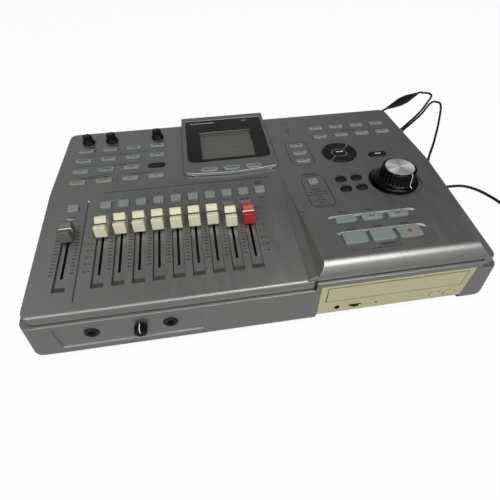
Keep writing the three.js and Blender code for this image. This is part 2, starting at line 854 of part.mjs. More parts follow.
// Transport keys: six single keys in two long troughs
function addTransportRow(names, rowFromFront, width, depth, troughDepth) {
  const y = fromFront(rowFromFront);
  const trough = roundedRectangle(troughX, y, troughWidth, troughDepth, half(troughDepth) - seatGap);
  deckCuts.push(solid(onDeck(plate(trough, -troughSink, overrun, caseSteps))));
  names.forEach((name, i) => {
    const key = { x: transportX + i * transportPitch, y, width, depth };
    const under = -wall - seatGap;
    const flange = block(
      key.x - half(width) - transportFlange, key.x + half(width) + transportFlange,
      y - half(depth) - transportFlange, y + half(depth) + transportFlange, under - stripThickness, under,
    );
    const top = plate(keyShape(key.x, y, width, depth), under - half(stripThickness), transportProud);
    addPiece(name, join([solid(flange), solid(top)]), keyGrey, deckPlane);
    deckCuts.push(...keyHoles([key]).map((hole) => solid(onDeck(hole))));
    addSwitches([key]);
  });
}
addTransportRow(
  ["zero_key", "rewind_key", "forward_key"],
  upperTransportFromFront, upperTransportWidth, upperTransportDepth, upperTroughDepth,
);
addTransportRow(
  ["stop_key", "play_key", "record_key"],
  lowerTransportFromFront, lowerTransportWidth, lowerTransportDepth, lowerTroughDepth,
);

// Knobs: a round skirt and a tapered grip over a shaft that stands on the key board
const shaftSpots = [];
function shaftHole(x, y, radius) {
  return solid(onDeck(cylinder(x, y, radius, -wall - overrun, overrun, smallDiscSteps)));
}
function turnedPart(points, steps) {
  const profile = points.map(([radius, z]) => new THREE.Vector2(radius, z));
  return new THREE.LatheGeometry(profile, steps).rotateX(Math.PI / 2);
}
knobColumns.forEach((column, i) => {
  const x = leftColumnX + column * leftColumnPitch;
  const y = fromFront(knobFromFront);
  const grip = turnedPart([
    [0, seatGap], [knobBaseRadius, seatGap], [knobBaseRadius - seatGap, knobSkirt],
    [knobTopRadius + seatGap, knobSkirt + seatGap], [knobTopRadius, knobHeight], [0, knobHeight],
  ], smallDiscSteps);
  const bore = cylinder(x, y, shaftRadius + shaftGap, -overrun, knobHeight - knobRoof, smallDiscSteps);
  const knob = solid(grip.translate(x, y, 0)).subtract(solid(bore));
  addPiece(`panel_knob_${i + 1}`, knob, black, deckPlane);
  deckCuts.push(shaftHole(x, y, shaftHoleRadius));
  shaftSpots.push({ x, y, top: deckHeight + knobHeight - knobRoof - seatGap });
});

// Jog dial: a fluted body with a spun metal cap, in a round recess
const dialY = fromFront(dialFromFront);
const dialBase = -dialRingDepth + seatGap;
const dialBody = turnedPart([
  [0, dialBase], [dialSkirtRadius, dialBase], [dialSkirtRadius, dialSkirtHeight - keyHeight],
  [dialTopRadius + keyHeight, dialSkirtHeight], [dialTopRadius, dialHeight - seatGap * 2],
  [dialTopRadius - seatGap * 2, dialHeight], [0, dialHeight],
], dialRidges * 2).translate(dialX, dialY, 0);
const dialCuts = [
  solid(cylinder(dialX, dialY, shaftRadius + shaftGap, -overrun, dialHeight - dialRoof, smallDiscSteps)),
  solid(cylinder(dialX, dialY, dialCapRadius + shaftGap, dialHeight - dialCapSink, dialHeight + overrun)),
];
for (let i = 0; i < dialRidges; i += 1) {
  const flute = new THREE.CylinderGeometry(dialRidgeDepth, dialRidgeDepth, dialHeight, dialRidgeSides);
  const fluteZ = half(dialHeight) + dialSkirtHeight + seatGap;
  flute.rotateX(Math.PI / 2).translate(dialTopRadius + dialRidgeDepth, 0, fluteZ);
  flute.rotateZ((i / dialRidges) * Math.PI * 2).translate(dialX, dialY, 0);
  dialCuts.push(solid(flute));
}
addPiece("jog_dial", cut(solid(dialBody), dialCuts), black, deckPlane);
const capBase = dialHeight - dialCapSink + seatGap;
const dialCap = cylinder(dialX, dialY, dialCapRadius, capBase, capBase + dialCapThickness);
addPiece("jog_dial_cap", solid(dialCap), metal, deckPlane);
deckCuts.push(solid(onDeck(cylinder(dialX, dialY, dialRingRadius, -dialRingDepth, overrun))));
deckCuts.push(shaftHole(dialX, dialY, shaftHoleRadius));
shaftSpots.push({ x: dialX, y: dialY, top: deckHeight + dialHeight - dialRoof - seatGap });
deckCuts.push(shaftHole(lampX, fromFront(lampFromFront), lampRadius));

// Opening under the display hood
const hoodOpeningHalf = half(hoodWidth) - hoodOpeningMargin;
const hoodOpeningFront = hoodFrontY + hoodWall;
const hoodOpeningRear = upperRear - hoodOpeningMargin;
deckCuts.push(solid(block(
  hoodX - hoodOpeningHalf, hoodX + hoodOpeningHalf, hoodOpeningFront, hoodOpeningRear,
  deckHeight - wall - overrun, deckHeight + overrun,
)));

// Posts that carry the key board, which stand clear of every strip, and the screw posts in the corners
const postSpots = [
  [leftColumnX - keyBoardSide, knobFromFront],
  [leftColumnX + leftColumnPitch * 2, knobFromFront],
  [modeKeyX, knobFromFront],
  [rightColumnX + rightColumnPitch * (rightColumns - 1), knobFromFront],
  [troughX + half(troughWidth) + keyBoardSide, exitKeyFromFront + smallKeyDepth * 2],
  [smallKeyX - half(smallKeyPitch) * 2, upperTransportFromFront + upperTroughDepth + smallKeyDepth],
];
for (const [x, distance] of postSpots) {
  const [low, top] = [keyBoardTop + seatGap, deckHeight - half(wall)];
  posts.push(solid(cylinder(x, fromFront(distance), postRadius, low, top, postSteps)));
}

const screwSpots = [-1, 1].flatMap((sideX) => [-1, 1].map((sideY) => [
  sideX * (half(caseWidth) - screwPostInset), middleY + sideY * (half(caseDepth) - screwPostInset),
]));
for (const [x, y] of screwSpots) {
  const top = Math.min(slopeHeight(y), deckHeight) - half(wall);
  posts.push(solid(cylinder(x, y, screwPostRadius, screwPostJoint + seatGap, top, postSteps)));
}

const upperShell = join([deckShell, tongue, raisedBlock(0)])
  .subtract(join([deckHollow, raisedBlock(wall)]))
  .subtract(bridgeNotch);
addPiece("upper_case", cut(join([upperShell, ...posts]), deckCuts), silver);

// Key board: one board under the rear deck and the block, with a switch under each key
const keyBoardLow = keyBoardTop - boardThickness;
const boardRear = upperRear - wall - keyBoardSide;
const boardHalf = upperHalfWidth - wall - keyBoardSide;
const blockBoardLeft = blockLeft + blockLeftLeanShare * slopeRise;
const blockBoardRight = blockRight - blockRightLeanShare * slopeRise - keyBoardSide;
const keyBoard = join([
  solid(block(-boardHalf, boardHalf, boardRear - keyBoardRearDepth, boardRear, keyBoardLow, keyBoardTop)),
  solid(block(
    blockBoardLeft, blockBoardRight, fromFront(keyBoardBlockFront), boardRear, keyBoardLow, keyBoardTop,
  )),
  ...switches.map(({ x, y }) => solid(block(
    x - half(switchSide), x + half(switchSide), y - half(switchSide), y + half(switchSide),
    keyBoardLow, underDeck - stripThickness - keyTravel - switchSpare,
  ))),
  ...shaftSpots.map(({ x, y, top }) => join([
    solid(block(
      x - half(potSide), x + half(potSide), y - half(potSide), y + half(potSide),
      keyBoardLow, keyBoardTop + potHeight,
    )),
    solid(cylinder(x, y, shaftRadius, keyBoardTop, top, smallDiscSteps)),
  ])),
]);
addPiece("key_board", keyBoard, boardGreen);

// Fader board: ten slide tracks that stand on one board under the slope
const trackTop = -wall - seatGap;
const trackLow = trackTop - railHeight;
const boardLeft = loneFaderX - railWidth;
const boardRight = firstFaderX + (trackKeyCount - 1) * faderPitch + half(trackKeyWidth);
const faderBoard = cut(
  join([
    solid(block(
      boardLeft, boardRight, slotFrontY - railOverhang * 2,
      -trackKeyFromBreak + half(trackKeyDepth), trackLow - boardThickness, trackLow,
    )),
    ...faderXs.map((x) => solid(block(
      x - half(railWidth), x + half(railWidth), slotFrontY - railOverhang, slotRearY + railOverhang,
      trackLow - half(boardThickness), trackTop,
    ))),
    ...trackKeys.map(({ x, y }) => solid(block(
      x - half(switchSide), x + half(switchSide), y - half(switchSide), y + half(switchSide),
      trackLow - half(boardThickness), trackTop - stripThickness - keyTravel - switchSpare,
    ))),
  ]),
  faderXs.map((x) => solid(block(
    x - half(grooveWidth), x + half(grooveWidth), slotFrontY - grooveSpare, slotRearY + grooveSpare,
    trackTop - grooveDepth, trackTop + overrun,
  ))),
);
addPiece("fader_board", faderBoard, boardGreen, slope);

// Faders: a saddle-shaped cap on a flat lever that reaches down into its track
function saddle() {
  const shape = new THREE.Shape();
  shape.moveTo(-capHalfLength + seatGap, capLift);
  shape.lineTo(capHalfLength - seatGap, capLift);
  shape.lineTo(capHalfLength, capFoot);
  shape.lineTo(capRidge, capHeight);
  shape.quadraticCurveTo(half(capRidge), capHeight, 0, capValley);
  shape.quadraticCurveTo(-half(capRidge), capHeight, -capRidge, capHeight);
  shape.lineTo(-capHalfLength, capFoot);
  shape.closePath();
  return shape;
}
const capRear = slotRearY - slideGap - half(leverLength);
const capMaterials = faderXs.map(() => capCream);
capMaterials[0] = capGrey;
capMaterials[faderCount] = capRed;
faderXs.forEach((x, i) => {
  const y = capRear - faderRests[i];
  const cap = sideView(saddle(), x - half(capWidth), x + half(capWidth)).translate(0, y, 0);
  const lever = block(
    x - half(leverWidth), x + half(leverWidth), y - half(leverLength), y + half(leverLength),
    -leverReach, half(capFoot),
  );
  addPiece(`fader_${i}`, join([solid(cap), solid(lever)]), capMaterials[i], slope);
});

// Display hood: a leaning bezel with a bowed front edge, hollow underneath
function hoodOutline(inset) {
  const left = hoodX - half(hoodWidth) + inset;
  const right = hoodX + half(hoodWidth) - inset;
  const corner = hoodCorner - half(inset);
  const sideFront = hoodFrontY + hoodBow + inset;
  const shape = new THREE.Shape();
  shape.moveTo(left, upperRear);
  shape.lineTo(left, sideFront + corner);
  const shoulder = sideFront - corner * hoodShoulderShare;
  shape.quadraticCurveTo(left, sideFront, left + corner, shoulder);
  shape.quadraticCurveTo(hoodX, hoodFrontY - half(hoodBow) + inset, right - corner, shoulder);
  shape.quadraticCurveTo(right, sideFront, right, sideFront + corner);
  shape.lineTo(right, upperRear);
  shape.closePath();
  return shape;
}
const hoodBase = deckHeight + seatGap;
const hoodTopAt = (y) => deckHeight + hoodFrontHeight + (y - hoodFrontY) * Math.tan(hoodAngle);
function hoodSideView(drop) {
  const front = hoodFrontY - overrun;
  const shape = new THREE.Shape();
  shape.moveTo(front, hoodBase - overrun);
  shape.lineTo(upperRear, hoodBase - overrun);
  shape.lineTo(upperRear, hoodTopAt(upperRear) - drop - hoodFrontRadius);
  const turn = upperRear - hoodFrontRadius;
  shape.quadraticCurveTo(upperRear, hoodTopAt(upperRear) - drop, turn, hoodTopAt(turn) - drop);
  shape.lineTo(front, hoodTopAt(front) - drop);
  shape.closePath();
  return shape;
}
const hoodHigh = deckHeight + hoodRearHeight + overrun;
const leanCut = (side) => {
  const edge = hoodX + side * half(hoodWidth);
  const top = edge - side * hoodSideLean;
  const reach = edge + side * overrun;
  const xs = (z) => (side > 0 ? [z, reach] : [reach, z]);
  const [low, high] = [xs(edge), xs(top)];
  const [y0, y1] = [hoodFrontY - overrun, upperRear + overrun];
  return solid(sixSided(
    [[low[0], y0, hoodBase], [low[1], y0, hoodBase], [low[1], y1, hoodBase], [low[0], y1, hoodBase]],
    [[high[0], y0, hoodHigh], [high[1], y0, hoodHigh], [high[1], y1, hoodHigh], [high[0], y1, hoodHigh]],
  ));
};
const softKeys = Array.from({ length: softKeyCount }, (_, i) => ({
  x: (i - 1) * softKeyPitch, y: softKeyFromHoodFront, width: softKeyWidth, depth: softKeyDepth,
  corner: softKeyDepth * softKeyCornerShare,
}));
const lensShape = (grow) => roundedRectangle(
  0, lensStart + half(lensLength), lensWidth + grow * 2, lensLength + grow * 2,
  lensFrontRadius + grow, lensRearRadius + grow,
);
const hoodSolid = solid(plate(hoodOutline(0), hoodBase, hoodHigh, caseSteps * 2))
  .intersect(solid(sideView(hoodSideView(0), hoodX - hoodWidth, hoodX + hoodWidth)));
const hollowOutline = roundedRectangle(
  hoodX, half(hoodOpeningFront + hoodOpeningRear),
  hoodOpeningHalf * 2, hoodOpeningRear - hoodOpeningFront, hoodWall,
);
const hoodHollow = solid(plate(hollowOutline, hoodBase - overrun, hoodHigh))
  .intersect(solid(sideView(hoodSideView(hoodRoof), hoodX - hoodWidth, hoodX + hoodWidth)));
addPiece("display_hood", cut(hoodSolid, [
  hoodHollow, leanCut(1), leanCut(-1),
  solid(onHood(plate(lensShape(seatGap), -lensThickness - seatGap, overrun, caseSteps))),
  solid(onHood(block(
    -half(windowWidth), half(windowWidth), windowStart, windowStart + windowLength, -hoodRoof - overrun, 0,
  ))),
  ...softKeys.map(({ x, y, width, depth, corner }) => solid(onHood(plate(
    keyShape(x, y, width + keyGap * 2, depth + keyGap * 2, corner), -hoodRoof - overrun, overrun,
  )))),
]), silver);
addPiece("display_lens", solid(plate(lensShape(0), -lensThickness, 0, caseSteps)), glass, hoodPlane);
const displayTop = -hoodRoof - seatGap;
addPiece("display_module", solid(block(
  -half(windowWidth) - displayMargin, half(windowWidth) + displayMargin,
  windowStart - displayMargin, windowStart + windowLength + displayMargin,
  displayTop - displayThickness, displayTop,
)), displayOlive, hoodPlane);
const softStripTop = -hoodRoof - seatGap;
addPiece("soft_key_strip", join([
  solid(block(
    -softKeyPitch - half(softKeyWidth) - stripMargin, softKeyPitch + half(softKeyWidth) + stripMargin,
    softKeyFromHoodFront - half(softKeyDepth), softKeyFromHoodFront + half(softKeyDepth) + stripMargin,
    softStripTop - stripThickness, softStripTop,
  )),
  ...softKeys.map(({ x, y, width, depth, corner }) => solid(plate(
    keyShape(x, y, width, depth, corner), softStripTop - half(stripThickness), softKeyHeight,
  ))),
]), keyGrey, hoodPlane);

// Lower shell: a tub with round lower edges, the bridge over the drive, posts and the jack recess
function lowerOutline(inset) {
  return roundedRectangle(0, middleY, caseWidth - inset * 2, caseDepth - inset * 2, cornerRadius - inset);
}
const tubShape = new THREE.ExtrudeGeometry(lowerOutline(0), {
  depth: lowerHeight,
  bevelThickness: lowerRound,
  bevelSize: lowerRound,
  bevelOffset: -lowerRound,
  bevelSegments: caseSteps - 1,
  curveSegments: caseSteps,
}).translate(0, 0, footHeight + lowerRound);
const tubPoints = tubShape.getAttribute("position");
for (let i = 0; i < tubPoints.count; i += 1) {
  const x = tubPoints.getX(i);
  const drop = (lowerTop - tubPoints.getZ(i)) / (lowerTop - footHeight);
  tubPoints.setX(i, x + Math.sign(x) * sideLean * drop);
}
const tub = solid(tubShape);
const tubTop = solid(block(-caseWidth, caseWidth, -caseDepth, caseDepth, lowerTop, lowerTop + lowerHeight));
const rimLow = lowerTop - tongueDepth - rimThickness;
const cavity = join([
  solid(plate(lowerOutline(wall), floorTop, rimLow)),
  solid(plate(deckOutline(seamDepth - seatGap), rimLow - wall, lowerTop + overrun)),
]);
const bridge = solid(block(
  bridgeLeft, bridgeRight, frontY, frontY + bridgeThickness, lowerTop - wall, bridgeTop,
));
const driveWindow = join([
  solid(block(
    bezelLeft - bezelGap, bezelRight + bezelGap, frontY - overrun, frontY + bezelThickness + bezelGap,
    0, bezelTop + bezelGap,
  )),
  solid(block(
    bezelLeft - bezelGap, bezelRight + bezelGap, frontY, frontY + bridgeThickness + overrun,
    floorTop, bezelTop + bezelGap,
  )),
]);
const jackBacking = solid(block(
  jackPanelLeft - wall, jackPanelRight + wall, frontY + half(wall), upperFront + jackPanelBacking,
  floorTop - half(floorThickness), jackPanelTop,
));
const jackRecess = solid(block(
  jackPanelLeft, jackPanelRight, frontY - overrun, frontY + jackPanelSink, jackPanelBottom, jackPanelTop,
));
const frontJackXs = [frontJackX, frontJackX + frontJackSpan];
const rearJackXs = Array.from({ length: rearJackCount }, (_, i) => rearJackX + i * rearJackPitch);
const frontHole = (x, radius) => solid(rod(x, jackHeight, radius, frontY - overrun, frontInner + overrun));
const rearHole = (x, radius) => solid(rod(x, jackHeight, radius, rearInner - overrun, rearY + overrun));
const frontInner = upperFront + jackPanelBacking;
const rearInner = rearY - wall;

function post(x, distance, top) {
  const low = floorTop - half(floorThickness);
  return solid(cylinder(x, fromFront(distance), postRadius, low, top, postSteps));
}
const jackBoardTop = jackHeight - half(jackBodyHeight);
const jackBoardLow = jackBoardTop - boardThickness;
const frontBoardLeft = frontJackX - jackBodyWidth;
const frontBoardRight = frontJackX + frontJackSpan + jackBodyWidth;
const frontBoardFront = frontInner + seatGap;
const rearBoardLeft = rearJackX - jackBodyWidth;
const rearBoardRight = inletX + jackBodyWidth;
const rearBoardRear = rearInner - seatGap;
const frontBoardRear = frontBoardFront + frontBoardDepth - frontY;
const rearBoardFront = rearBoardRear - rearBoardDepth - frontY;
const frontBoardMid = frontBoardRear - half(frontBoardDepth);
const rearBoardMid = rearBoardFront + half(rearBoardDepth);
const diskLeft = bezelCentreX - half(chassisWidth) - diskGap - diskWidth;
const diskFront = half(frontBoardRear + rearBoardFront - diskLength);
const mainBoardLeft = boardMargin - half(caseWidth - wall * 2);
const mainBoardRight = diskLeft - boardMargin;
const mainBoardFront = frontBoardRear + boardMargin;
const mainBoardRear = rearBoardFront - boardMargin;
const mainBoardLow = floorTop + mainBoardLift + seatGap;
const diskLow = floorTop + diskLift + seatGap;
const chassisLow = bezelBottom;
const inFromEdge = postRadius * 2;
const floorPosts = [
  post(frontBoardLeft + inFromEdge, frontBoardMid, jackBoardLow - seatGap),
  post(frontBoardRight - inFromEdge, frontBoardMid, jackBoardLow - seatGap),
  post(rearBoardLeft + inFromEdge, rearBoardMid, jackBoardLow - seatGap),
  post(half(rearBoardLeft + rearBoardRight), rearBoardMid, jackBoardLow - seatGap),
  post(rearBoardRight - inFromEdge, rearBoardMid, jackBoardLow - seatGap),
];
for (const x of [mainBoardLeft + inFromEdge, mainBoardRight - inFromEdge]) {
  for (const distance of [mainBoardFront + inFromEdge, mainBoardRear - inFromEdge]) {
    floorPosts.push(post(x, distance, mainBoardLow - seatGap));
  }
}
for (const x of [diskLeft + inFromEdge, diskLeft + diskWidth - inFromEdge]) {
  for (const distance of [diskFront + inFromEdge, diskFront + diskLength - inFromEdge]) {
    floorPosts.push(post(x, distance, diskLow - seatGap));
  }
}
const chassisFront = bezelThickness + chassisInset;
for (const side of [-1, 1]) {
  for (const distance of [chassisFront + inFromEdge * 2, chassisFront + chassisLength - inFromEdge * 2]) {
    const x = bezelCentreX + side * (half(chassisWidth) - inFromEdge);
    floorPosts.push(post(x, distance, chassisLow - seatGap));
  }
}
for (const [x, y] of screwSpots) {
  const low = floorTop - half(floorThickness);
  floorPosts.push(solid(cylinder(x, y, screwPostRadius, low, screwPostJoint, postSteps)));
}
const lowerCuts = [
  driveWindow,
  jackRecess,
  ...frontJackXs.map((x) => frontHole(x, jackCollarRadius + seatGap)),
  frontHole(frontKnobX, shaftHoleRadius),
  ...rearJackXs.map((x) => rearHole(x, jackCollarRadius + seatGap)),
  rearHole(inletX, inletRadius + seatGap),
];
const openTub = tub.subtract(tubTop).subtract(cavity);
addPiece("lower_case", cut(join([openTub, bridge, jackBacking, ...floorPosts]), lowerCuts), silver);

// Feet
const feet = [[-1, -1, "front_left"], [1, -1, "front_right"], [-1, 1, "rear_left"], [1, 1, "rear_right"]];
for (const [sideX, sideY, place] of feet) {
  addPiece(`foot_${place}`, solid(cylinder(
    sideX * (half(caseWidth) - footInsetX), middleY + sideY * (half(caseDepth) - footInsetY),
    footRadius, 0, footHeight, smallDiscSteps,
  )), rubber);
}

// Jack boards: sockets and pots soldered to one board each
function jackBody(x, inward, wallFace, outerFace) {
  const between = (a, b) => [Math.min(a, b), Math.max(a, b)];
  const [bodyY0, bodyY1] = between(wallFace, wallFace + inward * jackBodyLength);
  const [collarY0, collarY1] = between(outerFace, wallFace + inward * wall);
  const [boreY0, boreY1] = between(outerFace - inward * overrun, outerFace + inward * jackBoreDepth);
  return join([
    solid(block(
      x - half(jackBodyWidth), x + half(jackBodyWidth), bodyY0, bodyY1,
      jackBoardTop - half(boardThickness), jackHeight + half(jackBodyHeight),
    )),
    solid(rod(x, jackHeight, jackCollarRadius, collarY0, collarY1)),
  ]).subtract(solid(rod(x, jackHeight, jackBore, boreY0, boreY1, boreSteps)));
}
const recessFloor = frontY + jackPanelSink;
const frontPot = join([
  solid(block(
    frontKnobX - half(potSide), frontKnobX + half(potSide), frontBoardFront, frontBoardFront + potSide,
    jackBoardTop - half(boardThickness), jackHeight + half(potSide),
  )),
  solid(rod(
    frontKnobX, jackHeight, shaftRadius,
    recessFloor - frontKnobLength + knobRoof + seatGap, frontBoardFront + wall,
  )),
]);
addPiece("front_jack_board", join([
  solid(block(
    frontBoardLeft, frontBoardRight, frontBoardFront, frontBoardFront + frontBoardDepth,
    jackBoardLow, jackBoardTop,
  )),
  ...frontJackXs.map((x) => jackBody(x, 1, frontBoardFront, recessFloor - jackProud)),
  frontPot,
]), boardGreen);
const frontKnobFace = recessFloor - seatGap - frontKnobLength;
addPiece("front_level_knob", solid(rod(
  frontKnobX, jackHeight, frontKnobRadius - seatGap,
  frontKnobFace, recessFloor - seatGap, smallDiscSteps, frontKnobRadius,
)).subtract(solid(rod(
  frontKnobX, jackHeight, shaftRadius + shaftGap,
  recessFloor - frontKnobLength + knobRoof, recessFloor + overrun,
))), black);

const inletFace = rearY;
const inletBody = join([
  solid(block(
    inletX - half(jackBodyHeight), inletX + half(jackBodyHeight), rearBoardRear - inletDepth, rearBoardRear,
    jackBoardTop - half(boardThickness), jackHeight + half(potSide),
  )),
  solid(rod(inletX, jackHeight, inletRadius, rearBoardRear - half(wall), inletFace)),
]).subtract(solid(rod(inletX, jackHeight, inletBore, inletFace - inletDepth, inletFace + overrun)));
addPiece("rear_jack_board", join([
  solid(block(
    rearBoardLeft, rearBoardRight, rearBoardRear - rearBoardDepth, rearBoardRear,
    jackBoardLow, jackBoardTop,
  )),
  ...rearJackXs.map((x) => jackBody(x, -1, rearBoardRear, rearY + jackProud)),
  inletBody,
]), boardGreen);

// Main board with its chips, and the hard disk
const mainBoardTop = mainBoardLow + boardThickness;
const mainBoardWidth = mainBoardRight - mainBoardLeft;
const chipPitch = mainBoardWidth * chipPitchShare;
const chipSide = mainBoardWidth * chipShare;
const mainChips = [];
for (let row = 0; row < chipRows; row += 1) {
  for (let column = 0; column < chipColumns; column += 1) {
    const x = half(mainBoardLeft + mainBoardRight) + (column - half(chipColumns - 1)) * chipPitch;
    const y = fromFront(half(mainBoardFront + mainBoardRear) + (row - half(chipRows - 1)) * chipPitch);
    mainChips.push(solid(block(
      x - half(chipSide), x + half(chipSide), y - half(chipSide), y + half(chipSide),
      mainBoardLow + half(boardThickness), mainBoardTop + chipHeight,
    )));
  }
}
addPiece("main_board", join([
  solid(block(
    mainBoardLeft, mainBoardRight, fromFront(mainBoardFront), fromFront(mainBoardRear),
    mainBoardLow, mainBoardTop,
  )),
  ...mainChips,
]), boardGreen);
addPiece("hard_disk", join([
  solid(block(
    diskLeft, diskLeft + diskWidth, fromFront(diskFront), fromFront(diskFront + diskLength),
    diskLow, diskLow + diskHeight - diskStep,
  )),
  solid(block(
    diskLeft + diskStep, diskLeft + diskWidth - diskStep, fromFront(diskFront + diskStep),
    fromFront(diskFront + diskLength - diskStep * 2), diskLow + half(diskHeight), diskLow + diskHeight,
  )),
]), metal);

// Disc drive: chassis, bezel, tray, volume wheel and two buttons
const chassisY = fromFront(chassisFront);
const chassisTop = bezelTop - chassisInset;
const wheelY = frontY - wheelProud + wheelRadius;
const chassisBox = solid(block(
  bezelCentreX - half(chassisWidth), bezelCentreX + half(chassisWidth),
  chassisY, chassisY + chassisLength, chassisLow, chassisTop,
));
const chassisHollow = solid(block(
  bezelCentreX - half(chassisWidth) + chassisWall, bezelCentreX + half(chassisWidth) - chassisWall,
  chassisY - overrun, chassisY + chassisLength - chassisWall,
  chassisLow + chassisWall, chassisTop - chassisWall,
));
const wheelAxle = solid(cylinder(
  wheelX, wheelY, wheelAxleRadius - shaftGap, chassisLow + half(chassisWall),
  driveControlsHeight + wheelThickness, postSteps,
));
addPiece("drive_chassis", chassisBox.subtract(chassisHollow).add(wheelAxle), metal);

const bezelBack = frontY + bezelThickness;
const buttonXs = [driveButtonX, driveButtonX + driveButtonPitch];
function buttonOutline(x, grow) {
  const halfWidth = half(driveButtonWidth) + grow;
  const low = driveControlsHeight - half(driveButtonHeight) - grow;
  const high = driveControlsHeight + half(driveButtonHeight) + grow;
  const shape = new THREE.Shape();
  shape.moveTo(x - halfWidth, low);
  shape.lineTo(x + halfWidth, low);
  shape.lineTo(x + halfWidth, half(low + high));
  shape.quadraticCurveTo(x + halfWidth, high, x, high);
  shape.quadraticCurveTo(x - halfWidth, high, x - halfWidth, half(low + high));
  shape.closePath();
  return shape;
}
// A front view, drawn as (x, z), stretched from y0 to y1
function frontView(shape, y0, y1) {
  const geometry = new THREE.ExtrudeGeometry(shape, {
    depth: y1 - y0,
    bevelEnabled: false,
    curveSegments: caseSteps,
  });
  return geometry.rotateX(Math.PI / 2).translate(0, y1, 0);
}
const [bezelFrom, bezelTo] = [frontY - overrun, bezelBack + overrun];
const wheelLow = driveControlsHeight - half(wheelThickness);
const wheelHigh = driveControlsHeight + half(wheelThickness);
addPiece("drive_bezel", cut(
  solid(block(bezelLeft, bezelRight, frontY, bezelBack, bezelBottom, bezelTop)),
  [
    solid(block(
      bezelCentreX - half(trayDoorWidth) - slideGap, bezelCentreX + half(trayDoorWidth) + slideGap,
      bezelFrom, bezelTo, trayDoorBottom - slideGap, trayDoorBottom + trayDoorHeight + slideGap,
    )),
    solid(block(
      wheelX - half(wheelSlotWidth), wheelX + half(wheelSlotWidth), bezelFrom, bezelTo,
      wheelLow - slideGap, wheelHigh + slideGap,
    )),
    solid(block(
      wheelX - wheelRadius - slideGap, wheelX + wheelRadius + slideGap, frontY + wheelLip, bezelTo,
      wheelLow - slideGap, wheelHigh + slideGap,
    )),
    solid(rod(driveJackX, driveControlsHeight, driveJackRadius, bezelFrom, frontY + driveJackDepth)),
    ...buttonXs.map((x) => solid(frontView(buttonOutline(x, slideGap), bezelFrom, bezelTo))),
  ],
), bezelCream);
buttonXs.forEach((x, i) => {
  const shape = buttonOutline(x, 0);
  const flange = buttonOutline(x, driveButtonFlange);
  addPiece(`drive_button_${i + 1}`, join([
    solid(frontView(shape, frontY - driveButtonProud, bezelBack + seatGap + half(driveButtonFlange))),
    solid(frontView(flange, bezelBack + seatGap, bezelBack + seatGap + driveButtonFlange)),
  ]), bezelCream);
});
addPiece("volume_wheel", solid(cylinder(
  wheelX, wheelY, wheelRadius, wheelLow, wheelHigh,
)).subtract(solid(cylinder(wheelX, wheelY, wheelAxleRadius, 0, lowerTop, smallDiscSteps))), black);

const trayLow = trayDoorBottom + trayRise;
const trayBack = frontY + trayDoorThickness + trayLength;
const well = solid(cylinder(
  bezelCentreX, frontY + trayDoorThickness + discWellFromDoor, discWellRadius,
  trayLow + trayThickness - discWellDepth, trayLow + trayThickness + overrun, discSteps,
));
addPiece("disc_tray", join([
  solid(block(
    bezelCentreX - half(trayDoorWidth), bezelCentreX + half(trayDoorWidth),
    frontY, frontY + trayDoorThickness, trayDoorBottom, trayDoorBottom + trayDoorHeight,
  )),
  solid(block(
    bezelCentreX - half(trayWidth), bezelCentreX + half(trayWidth),
    frontY + half(trayDoorThickness), trayBack, trayLow, trayLow + trayThickness,
  )),
]).subtract(well), bezelCream);

// Power lead: plug, moulded choke, two free stretches, a coil and the wall adapter
const cordRadius = half(cordDiameter);
const cordZ = cordRadius + cordFloor;
const plugBack = rearY + seatGap;
const plugEnd = plugBack + plugLength;
const reliefEnd = plugEnd + reliefLength;
addPiece("power_plug", join([
  solid(rod(inletX, jackHeight, plugTipRadius, rearY - plugTipLength, plugBack + half(plugLength))),
  solid(rod(inletX, jackHeight, plugRadius, plugBack, plugEnd)),
  solid(rod(
    inletX, jackHeight, reliefRadius,
    plugEnd - half(plugLength), reliefEnd, smallDiscSteps, reliefEndRadius,
  )),
]), black);

// The lead's points are chosen by hand along its route on the table, as x, distance from the case's
// front, height of the middle of the lead
const chokeStart = [295, 409.5];
const chokeHeading = chokeTurnShare * Math.PI * 2;
const leadPoints = [
  [176, 320.6, 31], [176, 330, 29.6], [179, 341, 24], [187, 352, 14.5], [200, 362, 7], [236, 379.5, 4.4],
  [272, 396.6, 6.4],
];
const runPoints = [
  [386, 463.4, 7], [398.3, 471.2, 2.6], [402.6, 472.4, 1.9], [408.7, 469.9, 1.9], [411.2, 463.8, 1.9],
  [409.2, 458, 1.9], [399.6, 445.2, 1.9], [386.8, 431.8, 1.9], [350, 393, 1.9], [303, 351.6, 1.9],
  [267, 319.6, 1.9], [256, 303.5, 1.9], [254.6, 289, 1.9], [263.5, 281.6, 1.9], [275.4, 286, 1.9],
  [290.6, 317, 1.9], [317, 352, 1.9], [371, 406.6, 1.9], [392.4, 428.4, 1.9], [398, 430.6, 1.9],
  [404, 428.2, 1.9], [406.4, 422.4, 1.9], [404.6, 416.6, 1.9], [381, 376.6, 1.9], [327.5, 297, 1.9],
  [283.6, 235, 1.9], [265.8, 196.6, 1.9], [270.5, 184.4, 1.9], [309.6, 174.6, 1.9], [328, 150, 1.9],
];
const place = ([x, distance, z]) => new THREE.Vector3(x, fromFront(distance), z);
function tube(path, steps, sides) {
  const section = new THREE.Shape();
  section.absarc(0, 0, cordRadius, 0, Math.PI * 2);
  const points = section.getSpacedPoints(sides).slice(0, sides);
  const settings = { steps, bevelEnabled: false, extrudePath: path };
  return new THREE.ExtrudeGeometry(new THREE.Shape(points), settings);
}
const leadSteps = 16;
const runSteps = 76;
const plugExit = new THREE.Vector3(inletX, reliefEnd + seatGap, jackHeight);
const chokeAxis = new THREE.Vector3(Math.cos(chokeHeading), Math.sin(chokeHeading), 0);
const chokeFrom = new THREE.Vector3(chokeStart[0], fromFront(chokeStart[1]), chokeRadius + cordFloor);
const chokeTo = chokeFrom.clone().addScaledVector(chokeAxis, chokeLength);
const beforeChoke = chokeFrom.clone().addScaledVector(chokeAxis, -seatGap);
